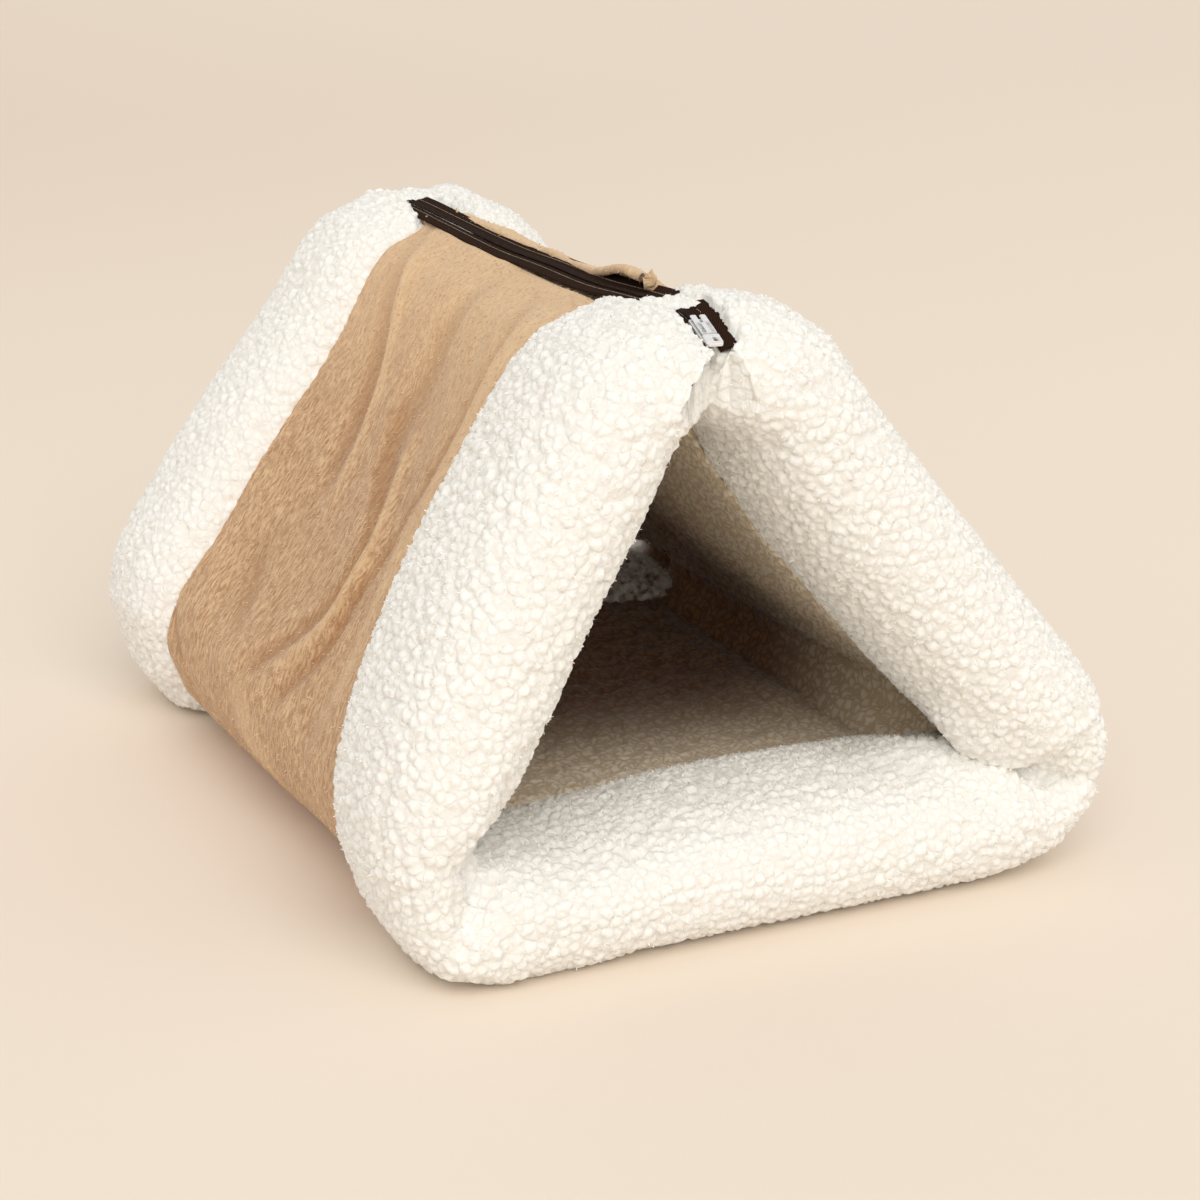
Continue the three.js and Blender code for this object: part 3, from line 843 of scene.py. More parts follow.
def soft_copy(source: Object, voxel: float, rounds: int) -> Object:
    """A smooth, evenly meshed copy of a faceted solid.

    Args:
        source: the frame's node.
        voxel: the mesh's step in metres.
        rounds: how often it is smoothed.

    Returns:
        A new object holding the copy.
    """
    shell = bmesh.new()
    shell.from_mesh(source.data)
    bmesh.ops.remove_doubles(shell, verts=shell.verts, dist=1e-6)
    mesh = bpy.data.meshes.new("soft_copy")
    shell.to_mesh(mesh)
    shell.free()
    copy = link("soft_copy", mesh)
    remesh = copy.modifiers.new("even", "REMESH")
    remesh.mode = "VOXEL"
    remesh.voxel_size = voxel
    smooth = copy.modifiers.new("smooth", "SMOOTH")
    smooth.factor = 0.5
    smooth.iterations = rounds
    even = settled(copy)
    copy.modifiers.clear()
    copy.data = even
    return copy


def read_points(mesh: Mesh, name: str = "co") -> np.ndarray:
    """A mesh's points, or their normals, as rows.

    Args:
        mesh: the mesh.
        name: what is read of each point.

    Returns:
        One row for each point.
    """
    flat = np.empty(len(mesh.vertices) * 3, np.float32)
    mesh.vertices.foreach_get(name, flat)
    return flat.reshape(-1, 3)


def move_points(mesh: Mesh, points: np.ndarray) -> None:
    """Gives a mesh new points."""
    mesh.vertices.foreach_set("co", points.astype(np.float32).ravel())
    mesh.update()


def lift_off(mesh: Mesh, floor: float) -> None:
    """Keeps a mesh's points at least this high.

    Args:
        mesh: the mesh.
        floor: how high, in metres.
    """
    points = read_points(mesh)
    points[:, 2] = np.maximum(points[:, 2], floor)
    move_points(mesh, points)


def press(mesh: Mesh, folds: Sequence[Fold]) -> None:
    """Works folds into a mesh, along its own normals.

    Args:
        mesh: the mesh.
        folds: the folds.
    """
    points, normals = read_points(mesh), read_points(mesh, "normal")
    lift = sum((fold.lift_at(points, settle=True) for fold in folds), np.zeros(len(points)))
    move_points(mesh, points + normals * lift[:, None])


def plateau(values: np.ndarray, middle: float, half: float) -> np.ndarray:
    """1 at the middle and near it, and 0 well past half the width, with soft flanks."""
    return np.exp(-(((values - middle) / half) ** 6))


def past(values: np.ndarray, edge: float, soft: float) -> np.ndarray:
    """0 before an edge and 1 past it."""
    return 1 / (1 + np.exp((edge - values) / soft))


def tape_cover(points: np.ndarray, line: np.ndarray) -> np.ndarray:
    """Where the rolls' pile closes over the zip: behind the slider, along its left tape and at both ends.

    Args:
        points: the pile's points.
        line: the zip's middle line.

    Returns:
        How fully each point takes part, from 0 to 1.
    """
    beside = (points[:, 0] - np.interp(points[:, 1], line[:, 1], line[:, 0])) / MM
    along = points[:, 1] / MM
    # Places and widths are in millimetres, along the tunnel or beside the zip.
    closed = (
        plateau(along, -215, 14) * plateau(beside, 0, 24),
        plateau(along, -246, 46) * plateau(beside, -16, 10),
        plateau(beside, -4, 18) * past(-along, 271, 1.2),
        plateau(beside, 0, 24) * past(along, 233, 2),
    )
    return np.max(closed, axis=0)


def close_over(mesh: Mesh, line: np.ndarray) -> None:
    """Raises a roll's pile over the zip where it closes.

    Args:
        mesh: the roll's mesh.
        line: the zip's middle line.
    """
    over, fall, reach = 4.5 * MM, 0.3, 30 * MM
    points = read_points(mesh)
    level = np.interp(points[:, 1], line[:, 1], line[:, 2]) + over
    level -= fall * np.maximum(line[0, 1] - points[:, 1], 0)
    lift = np.where(points[:, 2] > level - reach, np.maximum(level - points[:, 2], 0), 0)
    points[:, 2] += lift * tape_cover(points, line)
    move_points(mesh, points)


def under_tapes(mesh: Mesh, line: np.ndarray, half: float, below: float) -> None:
    """Keeps a pile from coming up through the zip and its tapes.

    Args:
        mesh: the pile's mesh.
        line: the zip's middle line.
        half: how far to each side of it the tapes reach, in metres.
        below: how far under the line the pile has to stay, in metres.
    """
    points = read_points(mesh)
    middle = np.interp(points[:, 1], line[:, 1], line[:, 0])
    top = np.interp(points[:, 1], line[:, 1], line[:, 2]) - below
    open_here = tape_cover(points, line) < 0.3
    beside = (np.abs(points[:, 0] - middle) < half) & (points[:, 2] > top)
    held = open_here & beside & (points[:, 1] > line[:, 1].min()) & (points[:, 1] < line[:, 1].max())
    points[held, 2] = top[held]
    move_points(mesh, points)


def chain_line(node: Object) -> np.ndarray:
    """The zip's middle line from front to back, from the rings of the chain's solid.

    Args:
        node: the chain's solid.

    Returns:
        Its points, in metres.
    """
    points = read_points(node.data)
    places = np.round(points[:, 1], 4)
    return np.array([points[places == y].mean(axis=0) for y in np.unique(places)])


@dataclass(frozen=True)
class Fold:
    """A soft ridge along a given path, or a trough where lift is below 0.

    Args:
        path: its points in millimetres, on the cover by way down the slope from the zip and along the tunnel.
        lift: how far it raises the surface, in millimetres.
        wide: its half width in millimetres.
        sharp: 2 for a round section, and less for a sharper one.
        ends: the share of its lift left at its two ends.
    """

    path: tuple[tuple[float, ...], ...]
    lift: float
    wide: float
    sharp: float = 2.0
    ends: float = 0.15

    def lift_at(self, places: np.ndarray, settle: bool = False) -> np.ndarray:
        """How far it raises the surface.

        Args:
            places: points in metres, in the path's own coordinates.
            settle: whether the path is first drawn onto the nearest of the points.

        Returns:
            The lift at each, in metres.
        """
        spots, rounded, settled_on, rise = 121, 4.0, 3.0, 0.6
        line = np.array(self.path, float) * MM
        length = np.concatenate([[0], np.cumsum(np.linalg.norm(np.diff(line, axis=0), axis=1))])
        even = np.linspace(0, length[-1], spots)
        line = np.stack([blurred(np.interp(even, length, column), rounded) for column in line.T], axis=1)
        if settle:
            nearest = [np.linalg.norm(places - point, axis=-1).argmin() for point in line]
            line = np.stack([blurred(column, settled_on) for column in places[nearest].T], axis=1)
        near = np.full(places.shape[:-1], np.inf)
        share = np.zeros(near.shape)
        for t, point in zip(np.linspace(0, 1, len(line)), line):
            far = np.linalg.norm(places - point, axis=-1)
            share = np.where(far < near, t, share)
            near = np.minimum(near, far)
        fade = self.ends + (1 - self.ends) * np.sin(math.pi * share) ** rise
        return self.lift * MM * fade * np.exp(-((near / (self.wide * MM)) ** self.sharp))


FRONT_FOLDS = (
    Fold(
        ((-37, -240, 324), (-40, -258, 318), (-45, -272, 306), (-54, -282, 292), (-60, -282, 274)),
        lift=-9, wide=6, sharp=1.3, ends=0.6,
    ),
    Fold(
        ((-144, -268, 138), (-152, -279, 108), (-160, -277, 82), (-168, -276, 62), (-178, -279, 48),
         (-186, -277, 30)),
        lift=-12, wide=7, sharp=1.3,
    ),
    Fold(((148, -244, 65), (168, -260, 60), (186, -270, 57), (206, -276, 57)), -7, 3.6, 1.2, 0.3),
    Fold(((-48, -256, 322), (-54, -268, 312), (-60, -276, 300)), 9, 15, 2.0, 0.7),
    Fold(((110, -225, 68), (140, -240, 64), (168, -246, 60)), 12, 19, 2.0, 0.6),
    Fold(((122, -250, 100), (142, -256, 84), (164, -262, 72)), 10, 15, 2.0, 0.6),
    Fold(((-200, -262, 30), (-190, -282, 14), (-160, -284, 8)), 5, 16, 2.0, 0.6),
)
BACK_FOLDS = (Fold(((20, 232, 334), (16, 260, 330), (8, 284, 320)), 6, 14, 2.0, 0.7),)
LINING_FOLDS = (
    Fold(((146, 150, 50), (152, 60, 50), (152, -20, 48), (146, -100, 46), (138, -170, 50)), -11, 7, 1.2, 0.5),
    Fold(((150, 140, 76), (160, 0, 74), (150, -120, 72)), 6, 14, 2.0, 0.5),
    Fold(((-150, 150, 50), (-148, 0, 48), (-140, -170, 50)), -11, 7, 1.2, 0.5),
)


@dataclass(frozen=True)
class Loose:
    """How a surface's loose fibres stand.

    Args:
        density: how many to the square metre.
        long: their usual length in millimetres.
        wide: their width at the root in millimetres.
        lean: how far they lean over, in radians.
        spin: how far they turn aside from straight down, in radians.
        seed: what their places are drawn by.
    """

    density: float
    long: float
    wide: float
    lean: float
    spin: float
    seed: int

    def grow(self, shop: Workshop, source: Object, finish: Material) -> Mesh:
        """Grows them on an object, as a plain mesh.

        Args:
            shop: the shared trees and finishes.
            source: the object.
            finish: their material.

        Returns:
            The fibres.
        """
        sizes = {"Density": self.density, "Long": self.long * MM, "Wide": self.wide * MM, "Lean": self.lean}
        sizes |= {"Spin": self.spin, "Seed": self.seed, "Finish": finish}
        return shop.fibres.grow(source, sizes)


TUFTS = Loose(density=48_000.0, long=1.4, wide=0.6, lean=0.95, spin=math.pi, seed=11)
FLECKS = Loose(density=110_000.0, long=1.8, wide=0.55, lean=1.42, spin=0.7, seed=5)


class Mouth(Enum):
    """The two ends of the tunnel, by the border sewn round each."""

    FRONT = "front_border"
    BACK = "back_border"


@dataclass
class Border:
    """A stuffed fleece roll round one mouth.

    Args:
        mouth: which end it is sewn round.
        folds: the creases and swells worked into it.
        step: its mesh's step in metres.
        tufts: its loose fibres.
        height: how high its curls stand, in metres.
        rounds: how often the copy of its solid is smoothed.
        floor: how high its underside is kept, in metres.
        clear: how far beside and below the zip its pile stays, in metres.
        axis: the tunnel's middle, across and up, in millimetres.
    """

    mouth: Mouth
    folds: tuple[Fold, ...]
    step: float = 2.3 * MM
    tufts: Loose = TUFTS
    height: float = 3.2 * MM
    rounds: int = 9
    floor: float = 0.3 * MM
    clear: tuple[float, float] = (12.0 * MM, 2.2 * MM)
    axis: tuple[float, float] = (-4.0, 115.0)

    def build(self, shop: Workshop) -> Object:
        """Args:
            shop: the shared trees and finishes.

        Returns:
            The border.
        """
        copy = soft_copy(shop.node(self.mouth.value), self.step, self.rounds)
        press(copy.data, self.folds)
        line = chain_line(shop.node("zip_teeth"))
        close_over(copy.data, line)
        # The back border's material paints deep shade on its side that faces the tunnel.
        finish = shop.fleece if self.mouth is Mouth.FRONT else shop.far_fleece_painted_shade
        mesh = shop.pile.grow(copy, {"Curl": CURL, "Height": self.height, "Finish": finish})
        bpy.data.objects.remove(copy)
        lift_off(mesh, self.floor)
        under_tapes(mesh, line, *self.clear)
        self.look_inward(mesh)
        name = f"{self.mouth.name.lower()}_border"
        roll = fit(link(f"{name}_fleece", mesh), [self.mouth.value])
        fit(link(f"{name}_tufts", self.tuft(shop, roll)))
        return roll

    def look_inward(self, mesh: Mesh) -> None:
        """Keeps how fully each point of the roll looks into the tunnel, as the mask for the shade painted
        there.

        Args:
            mesh: the roll's mesh.
        """
        places = np.empty(len(mesh.vertices) * 3, np.float32)
        mesh.attributes["rest"].data.foreach_get("vector", places)
        to_axis = np.array(self.axis) * MM - places.reshape(-1, 3)[:, [0, 2]]
        to_axis /= np.linalg.norm(to_axis, axis=1, keepdims=True)
        facing = (read_points(mesh, "normal")[:, [0, 2]] * to_axis).sum(axis=1)
        none, full = 0.1, 0.5
        share = np.clip((facing - none) / (full - none), 0, 1).astype(np.float32)
        mesh.attributes.new("inward_shade", "FLOAT", "POINT").data.foreach_set("value", share)

    def tuft(self, shop: Workshop, roll: Object) -> Mesh:
        """Stands loose tufts on the curls, except deep in the tunnel.

        Args:
            shop: the shared trees and finishes.
            roll: the border.

        Returns:
            The tufts.
        """
        mesh = self.tufts.grow(shop, roll, shop.tuft)
        shell = bmesh.new()
        shell.from_mesh(mesh)
        bmesh.ops.delete(shell, geom=[v for v in shell.verts if self.in_throat(v.co)])
        shell.to_mesh(mesh)
        shell.free()
        lift_off(mesh, self.floor)
        return mesh

    def in_throat(self, place: Vector) -> bool:
        """Whether a place is in the oval of the far mouth, which lies in deep shade."""
        across, up, end = place.x * 5.3, (place.z - 0.12) * 7.6, 0.27
        return 0 < place.y < end and across**2 + up**2 < 1.3


@dataclass
class Lining:
    """The padded fleece inside the tunnel."""

    step: float = 4.4 * MM
    height: float = 3.6 * MM
    rounds: int = 8
    clear: tuple[float, float] = (17.0 * MM, 5.0 * MM)

    def build(self, shop: Workshop) -> Object:
        """Args:
            shop: the shared trees and finishes.

        Returns:
            The lining.
        """
        copy = soft_copy(shop.node("padded_lining"), self.step, self.rounds)
        press(copy.data, LINING_FOLDS)
        mesh = shop.pile.grow(copy, {"Curl": LINING_CURL, "Height": self.height, "Finish": shop.lining})
        bpy.data.objects.remove(copy)
        under_tapes(mesh, chain_line(shop.node("zip_teeth")), *self.clear)
        pad = fit(link("lining_fleece_pad", mesh), ["padded_lining"])
        return pad


LEFT_FOLDS = (
    Fold(((6, 163), (29, 134), (49, 117), (77, 99), (98, 91), (114, 84), (150, 74), (190, 66)), -4.4, 13),
    Fold(((6, 143), (29, 114), (49, 96), (77, 78), (98, 70), (114, 63), (150, 53), (190, 47)), 3.4, 9),
    Fold(((14, -20), (32, -10), (65, 0), (89, -1), (117, 2), (138, -8), (170, -28)), -3.8, 13),
    Fold(
        ((100, 20), (138, 0), (170, -32), (191, -41), (227, -40), (243, -29), (259, -16), (283, 6),
         (300, 27)),
        lift=-4.6, wide=9,
    ),
    Fold(
        ((120, -20), (150, -38), (175, -54), (195, -60), (227, -58), (247, -45), (266, -28), (290, 0)),
        lift=3.2, wide=7,
    ),
    Fold(
        ((12, -81), (45, -112), (66, -115), (86, -107), (115, -102), (140, -100), (163, -86), (195, -75)),
        lift=-3.6, wide=9,
    ),
    Fold(((163, -90), (195, -77), (228, -72), (260, -59), (284, -41), (305, -24)), -4.0, 6.5),
    Fold(((20, -143), (80, -138), (160, -128), (240, -118), (300, -110)), 3.4, 15),
    Fold(((262, 62), (300, 30), (335, 0), (352, -40)), 2.6, 16),
    Fold(((230, 110), (270, 70), (305, 20)), -2.6, 14),
    Fold(((300, 165), (319, 157), (334, 136), (359, 133), (372, 140)), -2.8, 4),
    Fold(((3, -165), (3, 165)), 1.2, 5, ends=1.0),
)
RIGHT_FOLDS = (
    Fold(((12, -60), (80, -95), (170, -110)), -3.4, 12),
    Fold(((20, 90), (110, 40), (190, 20)), 3.0, 13),
    Fold(((30, -130), (120, -128), (220, -120)), 3.0, 14),
    Fold(((3, -165), (3, 165)), 4.0, 9, ends=1.0),
)


@dataclass
class Cover:
    """The brushed plush sheet over the outside, from one side of the zip round the floor to the other.

    Args:
        middle: the height that the rays meet at, in metres.
        rays: how many feel each row.
        rows: its mesh's rows along the tunnel.
        steps: its mesh's steps round it.
        seam: how far each seam is from its middle, in metres.
        reach: where the rays start, from the middle, in metres.
        thick: the cloth's thickness in metres.
        floor: how high its underside is kept, in metres.
        smooth: how widely it is smoothed, in rays round it and in rows along it.
        turn_in: the half thickness of the hems at the zip, in metres.
        hem: a hem's first and last turn in degrees, and how many there are.
        tuck: how far it is turned into each seam, in metres.
        waves: how closely its unevenness changes down the slopes and along it, and the slice that is taken.
        wave: how uneven it is, in millimetres.
        marked: the fold's lift that counts in full for the light and shade painted on the folds, in metres.
        flecks: its loose fibres.
    """

    middle: float = 0.13
    rays: int = 1500
    rows: int = 122
    steps: int = 310
    seam: float = 165.0 * MM
    reach: float = 0.5
    thick: float = 2.4 * MM
    floor: float = 0.5 * MM
    smooth: tuple[float, float] = (6.0, 1.8)
    turn_in: float = 2.7 * MM
    hem: tuple[float, float, int] = (30.0, 190.0, 6)
    tuck: float = 7.0 * MM
    waves: tuple[float, float, float] = (9.0, 24.0, 0.4)
    wave: float = 0.9
    marked: float = 3 * MM
    flecks: Loose = FLECKS

    def outline(self, node: Object, zip_x: np.ndarray, places: np.ndarray) -> np.ndarray:
        """Feels the solid's outside with rays towards the tunnel's middle.

        Args:
            node: the cover's solid.
            zip_x: where the zip runs, above the middle of each row.
            places: the rows' places along the tunnel.

        Returns:
            How far out each ray met the cloth, by row and angle.
        """
        shell = bmesh.new()
        shell.from_mesh(node.data)
        tree = BVHTree.FromBMesh(shell)
        found = np.full((self.rows, self.rays), np.nan)
        for i, (x, y) in enumerate(zip(zip_x, places)):
            for k, angle in enumerate(self.angles()):
                out = Vector((-math.sin(angle), 0.0, math.cos(angle)))
                start = Vector((x, y, self.middle)) + out * self.reach
                hit, _, _, far = tree.ray_cast(start, -out, self.reach)
                if hit is not None:
                    found[i, k] = self.reach - far
        shell.free()
        return found

    def angles(self) -> np.ndarray:
        """The rays' angles, from straight up at the zip round by the left and back."""
        return np.linspace(0, 2 * math.pi, self.rays, endpoint=False)

    def filled(self, found: np.ndarray) -> np.ndarray:
        """Carries the outline on into the seams, where the border has cut the solid back.

        Args:
            found: the outline, with no number where a ray met nothing.

        Returns:
            The outline without gaps.
        """
        out = found.copy()
        middle = self.rows // 2
        for order, step in ((range(middle, self.rows), -1), (range(middle, -1, -1), 1)):
            for i in order:
                lost = np.isnan(out[i])
                out[i, lost] = out[i + step, lost]
        return out

    def sheet_points(self, node: Object, line: np.ndarray) -> np.ndarray:
        """Lays rows of evenly spaced points over the solid's outside.

        Args:
            node: the cover's solid.
            line: the zip's middle line.

        Returns:
            The points, by row along the tunnel and by step from the left zip edge to the right one.
        """
        places = np.linspace(-self.seam, self.seam, self.rows)
        zip_x = np.interp(places, line[:, 1], line[:, 0])
        found = self.filled(self.outline(node, zip_x, places))
        grid = []
        for middle_x, y, row in zip(zip_x, places, found):
            held = np.flatnonzero(~np.isnan(row))
            cloth = slice(held[0], held[-1] + 1)
            radius = blurred(np.interp(np.arange(self.rays), held, row[held])[cloth], self.smooth[0])
            turn = self.angles()[cloth]
            x = middle_x - np.sin(turn) * radius
            z = self.middle + np.cos(turn) * radius
            length = np.concatenate([[0], np.cumsum(np.hypot(np.diff(x), np.diff(z)))])
            even = np.linspace(0, length[-1], self.steps)
            spaced = [np.interp(even, length, x), np.full(self.steps, y), np.interp(even, length, z)]
            grid.append(np.stack(spaced, axis=1))
        grid = np.array(grid)
        for k in (0, 2):
            grid[:, :, k] = np.apply_along_axis(blurred, 0, grid[:, :, k], self.smooth[1])
        return grid

    def build(self, shop: Workshop) -> Object:
        """Args:
            shop: the shared trees and finishes.

        Returns:
            The cover.
        """
        grid = self.sheet_points(shop.node("plush_cover"), chain_line(shop.node("zip_teeth")))
        steps = np.linalg.norm(np.diff(grid, axis=1), axis=2)
        slope = np.concatenate([np.zeros((self.rows, 1)), np.cumsum(steps, axis=1)], axis=1)
        total = slope[:, -1:]
        along = grid[:, :, 1]
        flat_places = np.stack([slope, along], axis=2)
        mirrored = np.stack([total - slope, along], axis=2)
        lift = sum(fold.lift_at(flat_places) for fold in LEFT_FOLDS)
        lift = lift + sum(fold.lift_at(mirrored) for fold in RIGHT_FOLDS)
        # How far each point is up a ridge or down a trough, for the light and shade painted on the folds.
        fold = np.clip(lift / self.marked, -1, 1)
        grid = grid + outwards(grid) * (lift + self.ripple(slope, along))[:, :, None]
        grid[:, :, 2] = np.maximum(grid[:, :, 2], self.floor)
        mesh = grid_mesh("plush_sheet", *self.seams(*self.hems(grid, flat_places, fold)))
        mesh.materials.append(shop.plush)
        bare = link("plush_bare", mesh.copy())
        cloth = link("plush_cover_cloth", mesh)
        solid = cloth.modifiers.new("thickness", "SOLIDIFY")
        solid.thickness = self.thick
        solid.offset = -1.0
        solid.use_rim = True
        mesh = settled(cloth)
        cloth.modifiers.clear()
        cloth.data = mesh
        lift_off(mesh, self.floor)
        fit(cloth, ["plush_cover"])
        nap = self.flecks.grow(shop, bare, shop.hair)
        bpy.data.objects.remove(bare)
        lift_off(nap, self.floor)
        fit(link("plush_cover_nap", nap))
        return cloth

    def hems(self, grid: np.ndarray, flat: np.ndarray, fold: np.ndarray) -> Sheet:
        """Turns the sheet's two edges at the zip under, as round hems.

        Args:
            grid: the sheet's points.
            flat: their places on the flat cloth.
            fold: their heights on the folds.

        Returns:
            The same three with the turned edges added.
        """
        for edge, inner, out in ((0, 1, -1), (-1, -2, 1)):
            up = outwards(grid)[:, edge]
            away = grid[:, edge] - grid[:, inner]
            away = away / np.linalg.norm(away, axis=1, keepdims=True)
            new, places = [], []
            for turn in np.radians(np.linspace(*self.hem)):
                bend = away * math.sin(turn) - up * (1 - math.cos(turn))
                new.append(grid[:, edge] + bend * self.turn_in)
                places.append(flat[:, edge] + np.array([self.turn_in * turn * out, 0.0]))
            turned = [np.stack(rows, axis=1)[:, ::out] for rows in (new, places)]
            turned.append(np.zeros((len(grid), len(new))))
            pairs = zip(turned, (grid, flat, fold))
            grid, flat, fold = (np.concatenate(pair[::-out], axis=1) for pair in pairs)
        return grid, flat, fold

    def seams(self, grid: np.ndarray, flat: np.ndarray, fold: np.ndarray) -> Sheet:
        """Turns the sheet's two sewn edges down into the rolls.

        Args:
            grid: the sheet's points.
            flat: their places on the flat cloth.
            fold: their heights on the folds.

        Returns:
            The same three with the seams' turns added.
        """
        up = outwards(grid)
        for edge, out in ((0, -1), (-1, 1)):
            turned = grid[edge] + (np.array([0.0, out, 0.0]) - up[edge]) * self.tuck
            turned[:, 2] = np.maximum(turned[:, 2], self.floor)
            place = flat[edge] + np.array([0.0, out * self.tuck * math.sqrt(2)])
            pairs = ((turned, grid), (place, flat), (fold[edge], fold))
            grid, flat, fold = (np.concatenate((row[None], rows)[::-out]) for row, rows in pairs)
        return grid, flat, fold

    def ripple(self, slope: np.ndarray, along: np.ndarray) -> np.ndarray:
        """Slight unevenness of hung cloth, stronger down the slopes than across them.

        Args:
            slope: how far down the slope each point is, in metres.
            along: where it is along the tunnel, in metres.

        Returns:
            How far each point is raised, in metres.
        """
        down, across, level = self.waves
        lift = np.empty(slope.shape)
        for index in np.ndindex(slope.shape):
            lift[index] = noise.noise(Vector((slope[index] * down, along[index] * across, level)))
        return lift * self.wave * MM


def blurred(values: np.ndarray, width: float) -> np.ndarray:
    """A row of numbers smoothed over about that many places, with its ends held.

    Args:
        values: the row.
        width: how many.

    Returns:
        The smoothed row.
    """
    half = int(3 * width) + 1
    bell = np.exp(-0.5 * (np.arange(-half, half + 1) / width) ** 2)
    before = 2 * values[0] - values[half:0:-1]
    after = 2 * values[-1] - values[-2 : -half - 2 : -1]
    return np.convolve(np.concatenate([before, values, after]), bell / bell.sum(), mode="valid")


def outwards(grid: np.ndarray) -> np.ndarray:
    """The outward direction at each point of a sheet's grid.

    Args:
        grid: the points.

    Returns:
        The directions.
    """
    down = np.gradient(grid, axis=1)
    along = np.gradient(grid, axis=0)
    direction = np.cross(down, along)
    return -direction / np.linalg.norm(direction, axis=2, keepdims=True)


def grid_mesh(name: str, grid: np.ndarray, flat: np.ndarray, fold: np.ndarray) -> Mesh:
    """A sheet's mesh with its flat places as UVs.

    Args:
        name: the mesh's name.
        grid: its points in rows.
        flat: each point's place on the flat cloth, in metres.
        fold: how far each point stands on a ridge, up to 1, or in a trough, down to -1.

    Returns:
        The mesh, facing outwards.
    """
    rows, steps = grid.shape[:2]
    index = np.arange(rows * steps).reshape(rows, steps)
    corners = [index[:-1, :-1], index[1:, :-1], index[1:, 1:], index[:-1, 1:]]
    faces = np.stack([c.ravel() for c in corners], axis=1)
    mesh = bpy.data.meshes.new(name)
    mesh.from_pydata(grid.reshape(-1, 3).tolist(), [], faces.tolist())
    layer = mesh.uv_layers.new(name="cloth")
    layer.data.foreach_set("uv", flat.reshape(-1, 2)[faces.ravel()].astype(np.float32).ravel())
    mesh.attributes.new("fold", "FLOAT", "POINT").data.foreach_set("value", fold.astype(np.float32).ravel())
    mesh.polygons.foreach_set("use_smooth", [True] * len(mesh.polygons))
    mesh.update()
    return mesh


